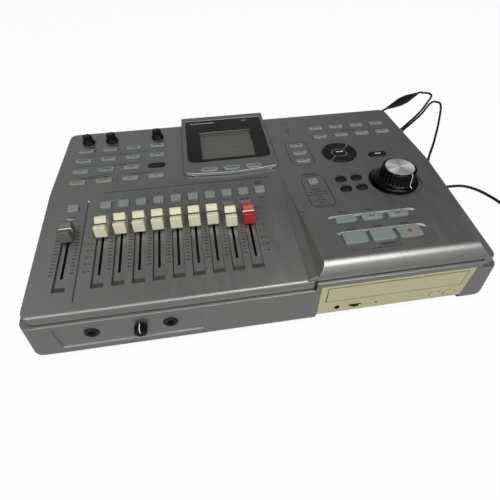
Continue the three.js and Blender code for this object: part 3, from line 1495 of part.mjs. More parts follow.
const afterChoke = chokeTo.clone().addScaledVector(chokeAxis, seatGap);
const coilY = fromFront(coilFromFront);
const coilStart = new THREE.Vector3(coilX - coilOuterRadius, coilY, cordZ);
const runEnd = coilStart.clone().add(new THREE.Vector3(0, cordDiameter + seatGap, 0));
const leadPath = new THREE.CatmullRomCurve3([plugExit, ...leadPoints.slice(1).map(place), beforeChoke]);
const runPath = new THREE.CatmullRomCurve3([
  afterChoke, ...runPoints.map(place), runEnd.clone().add(new THREE.Vector3(0, cordDiameter, 0)), runEnd,
]);
addPiece("power_lead", solid(tube(leadPath, leadSteps, cordSides)), black);
addPiece("power_lead_long", solid(tube(runPath, runSteps, cordSides)), black);
const chokeBody = half(chokeLength * chokeBodyShare);
const chokeMiddle = half(chokeLength);
const chokeShoulder = chokeRadius * chokeShoulderShare;
const choke = turnedPart([
  [0, 0],
  [reliefEndRadius, 0],
  [chokeShoulder, chokeMiddle - chokeBody],
  [chokeRadius, chokeMiddle - half(chokeBody)],
  [chokeRadius, chokeMiddle + half(chokeBody)],
  [chokeShoulder, chokeMiddle + chokeBody],
  [reliefEndRadius, chokeLength],
  [0, chokeLength],
], smallDiscSteps);
choke.rotateY(Math.PI / 2).rotateZ(chokeHeading).translate(chokeFrom.x, chokeFrom.y, chokeFrom.z);
addPiece("lead_choke", solid(choke), black);

// The coil spirals in and out again in two layers, and climbs where it turns back
class Coil extends THREE.Curve {
  getPoint(t, target = new THREE.Vector3()) {
    const straight = cordDiameter / coilLength;
    if (t < straight) {
      const reach = cordDiameter * (1 - t / straight);
      return target.set(coilStart.x, coilStart.y + reach, coilStart.z);
    }
    if (t > 1 - straight) {
      const reach = cordDiameter * (1 - (1 - t) / straight);
      return target.set(coilStart.x, coilStart.y - reach, coilStart.z + coilPitch);
    }
    const turn = ((t - straight) / (1 - straight * 2)) * coilTurns;
    const radius = coilOuterRadius - coilPitch * Math.min(turn, coilTurns - turn);
    const climb = THREE.MathUtils.smoothstep(
      turn, half(coilTurns - coilClimbTurns), half(coilTurns + coilClimbTurns),
    );
    const angle = Math.PI + turn * Math.PI * 2;
    return target.set(
      coilX + radius * Math.cos(angle), coilY + radius * Math.sin(angle), coilStart.z + coilPitch * climb,
    );
  }
}
const coilPitch = cordDiameter + coilGap;
const meanRadius = coilOuterRadius - half(half(coilPitch * coilTurns));
const coilLength = coilTurns * Math.PI * 2 * meanRadius + cordDiameter * 2;
const coilPath = new Coil();
addPiece("power_lead_coil", solid(tube(coilPath, coilTurns * coilStepsPerTurn, coilSides)), black);

// Least gap between one stretch of the coil and another, measured between points along it
function leastGap(path, samples, apart) {
  const points = path.getSpacedPoints(samples);
  let least = Infinity;
  points.forEach((a, i) => {
    for (let j = i + apart; j <= samples; j += 1) least = Math.min(least, a.distanceTo(points[j]));
  });
  return least - cordDiameter;
}
const coilSamples = coilTurns * coilStepsPerTurn * 2;
console.log("least gap in the coil, mm:", leastGap(coilPath, coilSamples, coilStepsPerTurn).toFixed(2));
const leadLengths = [leadPath.getLength(), chokeLength, runPath.getLength(), coilPath.getLength()];
console.log("lead lengths, mm:", leadLengths.map((length) => length.toFixed(0)).join(" "));

// Wall adapter beside the coil, with its strain relief towards the coil and two flat pins
const adapterCordY = coilY - cordDiameter - seatGap;
const adapterCordZ = coilStart.z + coilPitch;
const adapterRear = adapterCordY - reliefLength;
const adapterBase = seatGap;
const adapterOutline = roundedRectangle(
  coilStart.x, adapterRear - half(adapterLength), adapterWidth, adapterLength, adapterCorner,
);
const pins = [-1, 1].map((side) => {
  const x = coilStart.x + side * half(pinSpacing);
  const z = adapterBase + half(adapterHeight);
  return solid(block(
    x - half(pinThickness), x + half(pinThickness),
    adapterRear - adapterLength - pinLength, adapterRear - half(adapterLength),
    z - half(pinWidth), z + half(pinWidth),
  ));
});
addPiece("power_adapter", join([
  solid(plate(adapterOutline, adapterBase, adapterBase + adapterHeight)),
  solid(rod(
    coilStart.x, adapterCordZ, reliefRadius,
    adapterRear - half(reliefLength), adapterCordY, smallDiscSteps, reliefEndRadius,
  )),
  ...pins,
]), black);

export default recorder;
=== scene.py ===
# A desktop multitrack recorder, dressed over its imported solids. Metres, the front towards -Y, the
# table at Z 0. Most places are given in millimetres as x, distance from the case's front, height.
import json
import math

import bpy
from mathutils import Matrix, Vector

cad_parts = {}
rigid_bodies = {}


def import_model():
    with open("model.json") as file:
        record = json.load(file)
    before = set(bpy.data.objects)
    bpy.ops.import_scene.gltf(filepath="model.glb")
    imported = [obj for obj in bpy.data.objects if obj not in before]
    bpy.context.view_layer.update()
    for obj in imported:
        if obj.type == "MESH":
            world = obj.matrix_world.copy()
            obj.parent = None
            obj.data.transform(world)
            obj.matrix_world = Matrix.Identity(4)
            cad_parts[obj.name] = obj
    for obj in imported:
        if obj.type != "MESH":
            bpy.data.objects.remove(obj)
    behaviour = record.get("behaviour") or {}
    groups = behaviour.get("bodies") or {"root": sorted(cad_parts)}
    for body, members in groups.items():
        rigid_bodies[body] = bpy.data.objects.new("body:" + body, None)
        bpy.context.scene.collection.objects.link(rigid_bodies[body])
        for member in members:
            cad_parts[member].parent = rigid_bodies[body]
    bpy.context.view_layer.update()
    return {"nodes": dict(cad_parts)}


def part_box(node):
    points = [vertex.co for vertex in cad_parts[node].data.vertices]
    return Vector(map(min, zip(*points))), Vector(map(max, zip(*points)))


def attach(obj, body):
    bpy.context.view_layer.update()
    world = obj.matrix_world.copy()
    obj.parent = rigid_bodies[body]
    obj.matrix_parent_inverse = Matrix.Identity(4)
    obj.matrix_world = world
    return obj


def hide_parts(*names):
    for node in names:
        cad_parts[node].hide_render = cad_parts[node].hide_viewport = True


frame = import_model()
bpy.ops.object.select_all(action="DESELECT")

# The camera stands in front and a little to the left, and looks down on the recorder at about 46
# degrees. Its place and lens were fitted to the corners, the drive's front and the fader pitch.
scene = bpy.context.scene
scene.view_settings.view_transform = "Standard"
bpy.ops.object.camera_add(
    location=(-0.047434, -0.317475, 0.305854),
    rotation=(math.radians(43.6281), math.radians(0.57114), math.radians(-8.92225)),
)
camera = bpy.context.object
camera.data.sensor_width = 36
camera.data.lens = 25.943
camera.data.clip_start = 0.01
scene.camera = camera

# The adapter's lead: one round PVC cord that leaves the plug at the rear, passes through the
# moulded choke, lies in two loose loops on the table and ends in a small coil beside the adapter.
case_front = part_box("lower_case")[0][1]


def spot(x, distance, height):
    """A place given in millimetres from the middle, the case's front and the table."""
    return Vector((x / 1000, distance / 1000 + case_front, height / 1000))


cord_size = 3.6
cord_rest = 1.9
inlet_x, inlet_height, rear_wall = 176, 31, 276
choke_length = 96
choke_start = spot(295, 409.5, 7.5)
choke_turn = 0.085 * 2 * math.pi
choke_axis = Vector((math.cos(choke_turn), math.sin(choke_turn), 0))
choke_end = choke_start + choke_axis * choke_length / 1000
lead_points = [(inlet_x, distance, inlet_height) for distance in (298, 310, 320.6)] + [
    (inlet_x, 330, 29.6), (179, 341, 24), (187, 352, 14.5), (200, 362, 7), (236, 379.5, 4.4),
    (272, 396.6, 6.4),
]
run_points = [(386, 463.4, 7), (397, 469.4, 2.6)] + [(x, distance, cord_rest) for x, distance in (
    (401.2, 470.4), (406.6, 468.2), (408.9, 462.8), (407.6, 457.2), (399, 445.2), (386.8, 431.8),
    (350, 393), (303, 351.6), (267, 319.6), (256, 303.5), (254.6, 289), (263.5, 281.6), (274.4, 287),
    (279, 311), (290, 333.9), (318, 358.7), (353.3, 389.6), (374.4, 411.4), (391.8, 427.6),
    (398, 430.6), (404, 428.2), (406.4, 422.4), (404.6, 416.6), (381, 376.6), (327.5, 297),
    (283.6, 235), (265.8, 196.6), (270.5, 184.4), (309.6, 174.6), (328, 150),
)]
adapter_x = 337
coil_x, coil_distance, coil_radius, coil_turns, coil_pitch = 363, 95, 26, 5, 4.2
coil_steps = 16
coil_climb, coil_climb_turns = 2.25, 0.5
coil_points = [(adapter_x, 102.2, cord_rest)]
for step in range(coil_turns * coil_steps + 1):
    turn = step / coil_steps
    radius = coil_radius - coil_pitch * min(turn, coil_turns - turn)
    share = min(max((turn - coil_climb) / coil_climb_turns, 0), 1)
    angle = math.pi + turn * 2 * math.pi
    coil_points.append((
        coil_x + radius * math.cos(angle),
        coil_distance + radius * math.sin(angle),
        cord_rest + coil_pitch * share * share * (3 - 2 * share),
    ))
coil_top = cord_rest + coil_pitch
coil_points += [(adapter_x, distance, coil_top) for distance in (91.2, 72, 50)]
cord_line = [spot(*point) for point in lead_points]
cord_line += [choke_start, (choke_start + choke_end) / 2, choke_end]
cord_line += [spot(*point) for point in run_points + coil_points]
bpy.ops.curve.primitive_bezier_curve_add()
lead = bpy.context.object
lead.name = "power_lead_cord"
lead.data.splines[0].bezier_points.add(len(cord_line) - 2)
for point, place in zip(lead.data.splines[0].bezier_points, cord_line):
    point.co = place
    point.handle_left_type = "AUTO"
    point.handle_right_type = "AUTO"
lead.data.resolution_u = 10
lead.data.bevel_depth = cord_size / 2000
lead.data.bevel_resolution = 4
lead.data.use_fill_caps = True


class Reading:
    """An output of a shader node. Arithmetic on it adds the Math nodes that work it out."""

    def __init__(self, finish, socket):
        self.finish = finish
        self.socket = socket

    def maths(self, operation, *values):
        return self.finish.node("Math", {"operation": operation}, dict(enumerate(values)))

    def __add__(self, other):
        return self.maths("ADD", self, other)

    def __sub__(self, other):
        return self.maths("SUBTRACT", self, other)

    def __rsub__(self, other):
        return self.maths("SUBTRACT", other, self)

    def __mul__(self, other):
        return self.maths("MULTIPLY", self, other)

    def __gt__(self, other):
        return self.maths("GREATER_THAN", self, other)

    def __lt__(self, other):
        return self.maths("LESS_THAN", self, other)

    __radd__ = __add__
    __rmul__ = __mul__


class Nodes:
    """A node tree, to which nodes are added with their settings, values and links."""

    def __init__(self, tree):
        self.tree = tree

    def node(self, kind, settings=None, inputs=None, output=0):
        made = self.tree.nodes.new(f"ShaderNode{kind}")
        for name, value in (settings or {}).items():
            if name == "stops":
                for place, colour in value[1:-1]:
                    made.color_ramp.elements.new(place)
                for stop, (place, colour) in zip(made.color_ramp.elements, value):
                    stop.position = place
                    stop.color = (*colour, 1)
            else:
                setattr(made, name, value)
        for name, value in (inputs or {}).items():
            self.join(made.inputs[name], value)
        return Reading(self, made.outputs[output])

    def join(self, socket, value):
        if isinstance(value, Reading):
            self.tree.links.new(value.socket, socket)
        elif isinstance(value, tuple) and len(value) == 3 and socket.type == "RGBA":
            socket.default_value = (*value, 1)
        else:
            socket.default_value = value


class Finish(Nodes):
    """One material with its Principled shader, which a piece's section fills in."""

    def __init__(self, name, **constants):
        self.material = bpy.data.materials.new(name)
        self.material.use_nodes = True
        super().__init__(self.material.node_tree)
        self.shader = self.tree.nodes["Principled BSDF"]
        for socket, value in constants.items():
            self.feed(socket.replace("_", " "), value)

    def feed(self, socket, value):
        self.join(self.shader.inputs[socket], value)

    def place(self, scale=(1, 1, 1), centre=(0, 0, 0), turn=(0, 0, 0)):
        """The place on the object, in metres, from a centre, turned and stretched."""
        moved = self.node("Mapping", {}, {
            "Vector": self.node("TexCoord", output="Object"), "Location": tuple(-c for c in centre),
        })
        return self.node("Mapping", {}, {"Vector": moved, "Rotation": turn, "Scale": scale})

    def over(self, plane):
        """The place on the object as seen from a plane: across, along and above it."""
        flat = plane.inverted()
        return self.node("Mapping", {}, {
            "Vector": self.place(), "Location": flat.to_translation(), "Rotation": flat.to_euler(),
        })

    def axis(self, place, number):
        return self.node("SeparateXYZ", {}, {0: place}, number)

    def noise(self, place, scale, detail=3, roughness=0.6):
        return self.node(
            "TexNoise", {},
            {"Vector": place, "Scale": scale, "Detail": detail, "Roughness": roughness},
        )

    def mix(self, share, first, second):
        return self.node("Mix", {"data_type": "RGBA"}, {0: share, 6: first, 7: second}, 2)

    def surface(self, colour, roughness, height, distance, strength):
        """Colour, roughness and relief, with the relief's depth in metres."""
        self.feed("Base Color", colour)
        self.feed("Roughness", roughness)
        self.feed("Normal", self.node(
            "Bump", {}, {"Height": height, "Distance": distance, "Strength": strength},
        ))
        return self.material


def moulded(
    name, colour, roughness, grain=0.00006, grain_scale=2600, tint=0.12, dust=(0.5, 0.5, 0.48), shine=0.5,
):
    """Moulded plastic: spark-grained skin, slow shifts of colour, rubbed patches and a little dust."""
    finish = Finish(name, Specular_IOR_Level=shine)
    place = finish.place()
    cloud = finish.noise(place, 26, 2)
    skin = finish.noise(place, grain_scale, 2)
    rubs = finish.noise(finish.place(scale=(1, 0.3, 1), turn=(0, 0, 0.5)), 150, 4, 0.7)
    shade = tuple(c * (1 - tint) for c in colour)
    light = tuple(min(c * (1 + tint), 1) for c in colour)
    body = finish.mix(cloud, shade, light)
    speck = finish.noise(place, 900, 3, 0.8) > 0.72
    return finish.surface(
        finish.mix(speck * 0.25, body, dust), roughness + (rubs - 0.5) * 0.22 + (skin - 0.5) * 0.12,
        skin, grain, 0.6,
    )


cord_pvc = moulded("cord_pvc", (0.008, 0.008, 0.009), 0.5, 0.00001, 1800, 0.12, (0.02, 0.02, 0.02), 0.3)
lead.data.materials.append(cord_pvc)
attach(lead, "case")
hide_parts("power_lead", "power_lead_long", "power_lead_coil")

# The choke moulded on the lead near its plug: a hard black barrel over a ferrite ring, with a
# flexible tapered sleeve at each end, ribbed so that it bends.
round_shading = math.radians(32)


def mode(name):
    bpy.ops.object.mode_set(mode=name)


def faces_out():
    """In edit mode, turn every face outward, and leave edit mode."""
    bpy.ops.mesh.select_all(action="SELECT")
    bpy.ops.mesh.normals_make_consistent(inside=False)
    mode("OBJECT")


def turned(name, profile, sides, place):
    """A round piece drawn up the Z axis from a disc, ring by ring in millimetres, and then placed."""
    radius, height = profile[0]
    bpy.ops.mesh.primitive_circle_add(
        vertices=sides, radius=radius / 1000, fill_type="NGON", location=(0, 0, height / 1000),
    )
    piece = bpy.context.object
    piece.name = name
    bpy.ops.object.transform_apply()
    mode("EDIT")
    for wider, higher in profile[1:]:
        rise = (0, 0, (higher - height) / 1000)
        bpy.ops.mesh.extrude_region_move(TRANSFORM_OT_translate={"value": rise})
        bpy.ops.transform.resize(
            value=(wider / radius, wider / radius, 1), center_override=(0, 0, higher / 1000),
        )
        radius, height = wider, higher
    faces_out()
    piece.data.transform(place)
    bpy.ops.object.shade_smooth_by_angle(angle=round_shading)
    return piece


def wear(piece, material, body):
    """Give a finished piece its material and the body it rides on."""
    piece.data.materials.clear()
    piece.data.materials.append(material)
    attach(piece, body)
    piece.select_set(False)


def facing(place, degrees, axis="X"):
    """A frame at a place, turned about one of its axes."""
    return Matrix.Translation(place) @ Matrix.Rotation(math.radians(degrees), 4, axis)


half_choke = [
    (1.9, 0.4), (2.2, 0.8), (2.5, 3), (2.1, 3.4), (2.1, 4.4), (2.9, 4.8), (3.1, 7), (2.6, 7.4),
    (2.6, 8.6), (3.5, 9), (3.8, 12), (3.3, 12.4), (3.3, 13.6), (4.2, 14), (4.8, 19), (5.6, 25),
    (6.3, 30), (6.9, 34), (7.25, 38.5), (7.4, 43),
]
choke_profile = half_choke + [(radius, choke_length - along) for radius, along in reversed(half_choke)]
along_choke = Matrix.Translation(choke_start) @ choke_axis.to_track_quat("Z", "Y").to_matrix().to_4x4()
choke = turned("lead_choke_barrel", choke_profile, 40, along_choke)
choke_black = moulded("choke_black", (0.01, 0.01, 0.011), 0.3, 0.00003, 1500, 0.12, (0.1, 0.1, 0.1), 0.4)
wear(choke, choke_black, "case")
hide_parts("lead_choke")

# The low-voltage plug at the rear wall: a nickel barrel in a ribbed black grip, whose sleeve tapers
# down on to the cord.
to_rear = facing(spot(inlet_x, 0, inlet_height), -90)
rib_depth = 0.5
grip_profile = [(3.4, 276.4), (5.2, 276.4), (5.6, 276.9), (5.6, 280)]
for rib in range(5):
    start = 280 + rib * 2.8
    grip_profile += [(5.6, start), (5.1, start + 0.3), (5.1, start + 1.2), (5.6, start + 1.5)]
grip_profile += [(5.6, 296), (5.3, 297.6), (4, 298.4)]
for rib in range(6):
    start, outer = 300 + rib * 3, 3.8 - rib * 0.22
    inner = outer - rib_depth
    grip_profile += [(outer, start), (inner, start + 0.3), (inner, start + 1.3), (outer, start + 1.6)]
grip_profile += [(2.5, 319), (2.0, 320.2)]
plug_grip = turned("power_plug_grip", grip_profile, 32, to_rear)
wear(plug_grip, choke_black, "case")
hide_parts("power_plug")

plating = Finish("nickel", Metallic=1.0)
lines = plating.noise(plating.place(scale=(1, 0.06, 1)), 3000, 4, 0.7)
nickel = plating.surface(
    plating.mix(lines, (0.42, 0.41, 0.39), (0.68, 0.67, 0.64)), 0.2 + lines * 0.2, lines, 0.00002, 0.5,
)
tip_profile = [(2.2, 267.2), (2.6, 267.6), (2.7, 268.4), (2.7, 275), (3.3, 275.2), (3.3, 276.6)]
plug_tip = turned("power_plug_tip", tip_profile, 32, to_rear)
wear(plug_tip, nickel, "case")
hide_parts("power_plug")

# The wall adapter at the lead's far end: two black plastic shells welded along a seam, a plain
# sunk plate on top, two flat plated pins and a sleeve for the cord.


def slab(name, low, high):
    """A box between two corners in millimetres: x, distance from the case's front, height."""
    a, b = spot(*low), spot(*high)
    bpy.ops.mesh.primitive_cube_add(size=1, location=(a + b) / 2, scale=b - a)
    piece = bpy.context.object
    piece.name = name
    bpy.ops.object.transform_apply()
    return piece


def pick(piece, kind, test):
    """In edit mode, leave selected only the faces, edges or points that a test on their place takes."""
    mode("EDIT")
    bpy.ops.mesh.select_mode(type=kind)
    bpy.ops.mesh.select_all(action="DESELECT")
    mode("OBJECT")
    points = piece.data.vertices
    if kind == "FACE":
        for face in piece.data.polygons:
            face.select = test(face.center, face.normal)
    elif kind == "EDGE":
        for edge in piece.data.edges:
            edge.select = test(*(points[i].co for i in edge.vertices))
    else:
        for point in points:
            point.select = test(point.co)
    mode("EDIT")


def finished(piece, modifier, **settings):
    """Add a modifier with its settings and apply it."""
    bpy.context.view_layer.objects.active = piece
    added = piece.modifiers.new(modifier.lower(), modifier)
    for name, value in settings.items():
        setattr(added, name, value)
    bpy.ops.object.modifier_apply(modifier=added.name)


def rounded(piece, width, segments=3, angle=35):
    """Round the edges sharper than an angle, and keep the flat faces flat in the shading."""
    finished(
        piece, "BEVEL", width=width / 1000, segments=segments, limit_method="ANGLE",
        angle_limit=math.radians(angle), use_clamp_overlap=False, miter_outer="MITER_ARC",
    )
    piece.data.shade_smooth()
    finished(piece, "WEIGHTED_NORMAL", weight=50, keep_sharp=True)


def joined(name, parts):
    """Several pieces made one, under one name."""
    bpy.ops.object.select_all(action="DESELECT")
    for part in parts:
        part.select_set(True)
    bpy.context.view_layer.objects.active = parts[0]
    bpy.ops.object.transform_apply()
    if len(parts) > 1:
        bpy.ops.object.join()
    piece = bpy.context.object
    piece.name = name
    return piece


adapter_half_width, adapter_near, adapter_far = 24, 1.1, 69.1
adapter_bottom, adapter_seam, adapter_top = 0.3, 17.1, 34.3
adapter_parts = []
for name, low, high, outer in (
    ("lower", adapter_bottom, adapter_seam, adapter_bottom),
    ("upper", adapter_seam, adapter_top, adapter_top),
):
    shell = slab(
        f"adapter_shell_{name}", (adapter_x - adapter_half_width, adapter_near, low),
        (adapter_x + adapter_half_width, adapter_far, high),
    )
    pick(shell, "EDGE", lambda a, b: abs(a.z - b.z) > 0.001)
    bpy.ops.mesh.bevel(offset=0.005, segments=5)
    mode("OBJECT")
    pick(shell, "EDGE", lambda a, b: all(abs(end.z - outer / 1000) < 1e-5 for end in (a, b)))
    bpy.ops.mesh.bevel(offset=0.0022, segments=4)
    mode("OBJECT")
    rounded(shell, 0.25, 2, 50)
    adapter_parts.append(shell)
pick(adapter_parts[1], "FACE", lambda centre, normal: normal.z > 0.99)
bpy.ops.mesh.inset(thickness=0.006)
bpy.ops.mesh.inset(thickness=0.0004, depth=-0.0004)
mode("OBJECT")
to_sleeve = facing(spot(adapter_x, 0, coil_top), -90)
sleeve_profile = [(4, 66), (4, 71)]
for rib in range(5):
    start, outer = 71 + rib * 3.6, 3.9 - rib * 0.25
    inner = outer - rib_depth
    sleeve_profile += [(outer, start), (inner, start + 0.4), (inner, start + 1.6), (outer, start + 2)]
sleeve_profile += [(2.5, 90), (2.0, 91)]
adapter_parts.append(turned("adapter_sleeve", sleeve_profile, 28, to_sleeve))
adapter = joined("wall_adapter", adapter_parts)
adapter_black = moulded("adapter_black", (0.016, 0.016, 0.017), 0.48, 0.00009, 1900)
wear(adapter, adapter_black, "case")
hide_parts("power_adapter")

pins = []
pin_offset, pin_end, pin_height = 6.35, -16.8, 17.3
pin_half_thickness, pin_half_width = 0.8, 3.1
for x in (adapter_x - pin_offset, adapter_x + pin_offset):
    pin = slab(
        "adapter_pin", (x - pin_half_thickness, pin_end, pin_height - pin_half_width),
        (x + pin_half_thickness, adapter_near + 0.5, pin_height + pin_half_width),
    )
    pick(pin, "FACE", lambda centre, normal: normal.y < -0.9)
    bpy.ops.transform.resize(value=(0.7, 1, 0.7), center_override=spot(x, pin_end, pin_height))
    mode("OBJECT")
    rounded(pin, 0.3, 2)
    pins.append(pin)
adapter_pins = joined("wall_adapter_pins", pins)
wear(adapter_pins, nickel, "case")
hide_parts("power_adapter")
spot(inlet_x, rear_wall, inlet_height)

# The lower shell: one silver-painted moulding with round lower edges, a jack recess in its front
# wall and a window for the disc drive. Four screws from below pull the two shells together.


def copied(node, merge=0.6):
    """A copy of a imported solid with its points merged, for shaping."""
    bpy.ops.object.select_all(action="DESELECT")
    piece = frame["nodes"][node].copy()
    piece.data = piece.data.copy()
    piece.parent = None
    piece.matrix_world = Matrix.Identity(4)
    piece.name = f"{node}_dressed"
    bpy.context.collection.objects.link(piece)
    piece.select_set(True)
    bpy.context.view_layer.objects.active = piece
    bpy.ops.mesh.customdata_custom_splitnormals_clear()
    mode("EDIT")
    bpy.ops.mesh.select_all(action="SELECT")
    bpy.ops.mesh.remove_doubles(threshold=0.000004)
    if merge:
        bpy.ops.mesh.dissolve_limited(angle_limit=math.radians(merge))
    bpy.ops.mesh.dissolve_degenerate(threshold=0.00001)
    mode("OBJECT")
    return piece


def dressed(node, width, segments=2, angle=40, merge=0.6):
    """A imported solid's own shape with rounded edges, shown in the solid's place."""
    piece = copied(node, merge)
    rounded(piece, width, segments, angle)
    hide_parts(node)
    return piece


def silver_paint(name, chipped=True, painted_shade=0.0):
    """Metallic paint with orange peel, scuffs, chipped edges, and painted shade as a share or a finish's
    reading.
    """
    coat = Finish(name, Metallic=0.88)
    place = coat.place()
    flakes = coat.node("TexVoronoi", {}, {"Vector": place, "Scale": 2400})
    orange_peel = coat.noise(place, 700, 3, 0.5)
    haze = coat.noise(place, 18, 3)
    scuffs = coat.noise(coat.place(scale=(1, 0.18, 1), turn=(0, 0, 0.7)), 130, 5, 0.75)
    paint = coat.mix(flakes, (0.29, 0.296, 0.284), (0.41, 0.417, 0.403))
    paint = coat.mix(haze * 0.35, paint, (0.27, 0.275, 0.265))
    paint = coat.mix((scuffs > 0.7) * 0.15, paint, (0.5, 0.5, 0.49))
    if chipped:
        rim = coat.node("Bevel", {"samples": 6}, {"Radius": 0.0012})
        normal = coat.node("NewGeometry", output="Normal")
        flat = coat.node("VectorMath", {"operation": "DOT_PRODUCT"}, {0: rim, 1: normal}, "Value")
        edge = 1 - flat
        chips = coat.noise(place, 260, 4, 0.7)
        worn = (edge * (chips * 3 - 1.2)) > 0.06
        paint = coat.mix(worn * 0.7, paint, (0.72, 0.72, 0.7))
    # Painted shade: the paint is mixed towards near black by this share or reading.
    if callable(painted_shade):
        painted_shade = painted_shade(coat)
    return coat.surface(
        coat.mix(painted_shade, paint, (0.01, 0.01, 0.01)), 0.4 + (scuffs - 0.5) * 0.2 + (haze - 0.5) * 0.1,
        orange_peel + flakes * 0.4, 0.00004, 0.5,
    )


silver = silver_paint("silver_paint")
lower_shell = dressed("lower_case", 0.5)
wear(lower_shell, silver, "case")

# Four round rubber feet, each pressed on a stud of the lower shell, with a dished face and a
# recessed washer in the middle.
foot_black = moulded("foot_rubber", (0.02, 0.02, 0.02), 0.8, 0.00012, 1400, 0.25)
foot_profile = [
    (2.4, 1.4), (3.4, 1.4), (3.5, 0.5), (5.4, 0.1), (6.6, 0), (7.4, 0.25), (7.8, 0.9), (8, 2.6), (8, 4),
    (6, 4.05),
]
for node in ("foot_front_left", "foot_front_right", "foot_rear_left", "foot_rear_right"):
    low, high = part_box(node)
    under = Matrix.Translation(((low[0] + high[0]) / 2, (low[1] + high[1]) / 2, 0))
    foot = turned(f"{node}_pad", foot_profile, 40, under)
    wear(foot, foot_black, "case")
    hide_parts(node)

# The upper shell: the deck with its fader slope, recesses and key holes, and the raised block with
# its round nose, all one moulding in the same silver paint, darkened as painted shade on the fader
# recesses' walls, in the dial's recess and on the fillet. The block grows out of the slope in a soft
# hollow fillet along the foot of its left wall.
deck_height = 75
break_distance = 146.5
slope_angle = math.atan2(15.5, 143.5)
on_deck = Matrix.Translation((0, case_front, deck_height / 1000))
on_slope = (
    Matrix.Translation((0, case_front + break_distance / 1000, deck_height / 1000))
    @ Matrix.Rotation(slope_angle, 4, "X")
)


def draft(piece, plane, width, depth=0.0012):
    """Lean the walls of the shallow recesses in one plane, so that they rise slanting to its surface."""
    flat = plane.inverted()
    near = 0.00003
    rim = [flat @ point.co for point in piece.data.vertices]
    rim = [point for point in rim if abs(point.z) < 0.00002]

    def on_floor(place):
        return abs((flat @ place).z + depth) < near

    def under_rim(place):
        low = flat @ place
        return on_floor(place) and any(abs(low.x - p.x) < near and abs(low.y - p.y) < near for p in rim)

    pick(piece, "FACE", lambda centre, normal: on_floor(centre) and (flat.to_3x3() @ normal).z > 0.99)
    bpy.ops.mesh.inset(thickness=width / 1000)
    mode("OBJECT")
    pick(piece, "VERT", under_rim)
    bpy.ops.transform.translate(value=plane.to_3x3() @ Vector((0, 0, depth)))
    bpy.ops.mesh.select_all(action="SELECT")
    bpy.ops.mesh.remove_doubles(threshold=0.000006)
    mode("OBJECT")


def shift(piece, plane, test, move):
    """Move the points that a test on their place over a plane takes, by millimetres in that plane."""
    flat = plane.inverted()
    pick(piece, "VERT", lambda place: test(*(flat @ place * 1000)))
    bpy.ops.transform.translate(value=plane.to_3x3() @ (Vector(move) / 1000))
    mode("OBJECT")


upper_shell = copied("upper_case", 0)
draft(upper_shell, on_slope, 1.0)
draft(upper_shell, on_deck, 0.75)
recess_left, recess_right = -190, 5
drawn_floor, deeper_floor, same_level = -1.2, -2, 0.05
for level, front, rear, move in (
    (drawn_floor, -121, -31, (0, 0, deeper_floor - drawn_floor)),
    (0, -120.3, -120.1, (0, -2.1, 0)), (deeper_floor, -119.4, -119, (0, 2.7, 0)),
    (0, -31.3, -31.1, (0, -4.8, 0)), (deeper_floor, -32.4, -32, (0, -5, 0)),
):
    shift(upper_shell, on_slope, lambda x, y, z: (
        abs(z - level) < same_level and front < y < rear and recess_left < x < recess_right
    ), move)
at_dial = Matrix.Translation(spot(155, 112, deck_height))
dial_recess_radius, dial_recess_drop = 28.5, 1
shift(upper_shell, at_dial, lambda x, y, z: (
    abs(z - drawn_floor) < same_level and math.hypot(x, y) < dial_recess_radius
), (0, 0, -dial_recess_drop))
slope_flat = on_slope.inverted()


def in_recess(place):
    x, y, z = slope_flat @ place * 1000
    return recess_left < x < recess_right and -123 < y < -35 and -6 < z < 0.05


def sharp_edges(angle, recesses):
    """In edit mode, leave selected the sharp edges inside the fader recesses, or those outside them."""
    pick(upper_shell, "EDGE", lambda a, b: False)
    bpy.ops.mesh.edges_select_sharp(sharpness=math.radians(angle))
    mode("OBJECT")
    points = upper_shell.data.vertices
    for line in [*upper_shell.data.polygons, *upper_shell.data.edges]:
        if all(in_recess(points[i].co) for i in line.vertices) != recesses:
            line.select = False
    mode("EDIT")


sharp_edges(38, False)
bpy.ops.mesh.bevel(offset=0.0003, segments=2, clamp_overlap=False, miter_outer="ARC")
sharp_edges(10, True)
bpy.ops.mesh.mark_sharp()
mode("OBJECT")
for point in upper_shell.data.vertices:
    point.co.z = min(point.co.z, deck_height / 1000)
upper_shell.data.shade_smooth()
finished(upper_shell, "WEIGHTED_NORMAL", weight=50, keep_sharp=True)
wear(upper_shell, silver, "case")
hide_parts("upper_case")


def dial_painted_shade(coat):
    """Painted shade in the dial's recess: full at its left, none at its right."""
    return coat.node("MapRange", {}, {
        "Value": coat.axis(coat.place(), 0), "From Min": 0.134, "From Max": 0.146,
        "To Min": 0.97, "To Max": 0,
    })


# Painted shade: a darker copy of the paint goes on the fader recesses' walls that face right or to the rear.
upper_shell.data.materials.append(silver_paint("silver_recess_wall_painted_shade", False, 0.6))
upper_shell.data.materials.append(silver_paint("silver_dial_recess_painted_shade", False, dial_painted_shade))
for face in upper_shell.data.polygons:
    lean = slope_flat.to_3x3() @ face.normal
    from_dial = at_dial.inverted() @ face.center * 1000
    if in_recess(face.center) and max(lean.x, lean.y) > 0.12:
        face.material_index = 1
    # Painted shade: the dial's recess gets a copy of the paint darkened from its left.
    elif -5 < from_dial.z < -0.02 and math.hypot(from_dial.x, from_dial.y) < dial_recess_radius - 0.05:
        face.material_index = 2


def slope_top(distance):
    return deck_height - (break_distance - distance) * math.tan(slope_angle)


def lofted(name, sections):
    """A solid drawn from one closed section of points to the next."""
    bpy.ops.mesh.primitive_circle_add(vertices=len(sections[0]), fill_type="NGON")
    piece = bpy.context.object
    piece.name = name
    for number, section in enumerate(sections):
        if number:
            mode("EDIT")
            bpy.ops.mesh.extrude_region_move()
            mode("OBJECT")
        chosen = [point for point in piece.data.vertices if point.select]
        for point, place in zip(chosen, section):
            point.co = place
    mode("EDIT")
    faces_out()
    piece.select_set(True)
    bpy.ops.object.transform_apply()
    bpy.ops.object.shade_smooth_by_angle(angle=math.radians(40))
    return piece


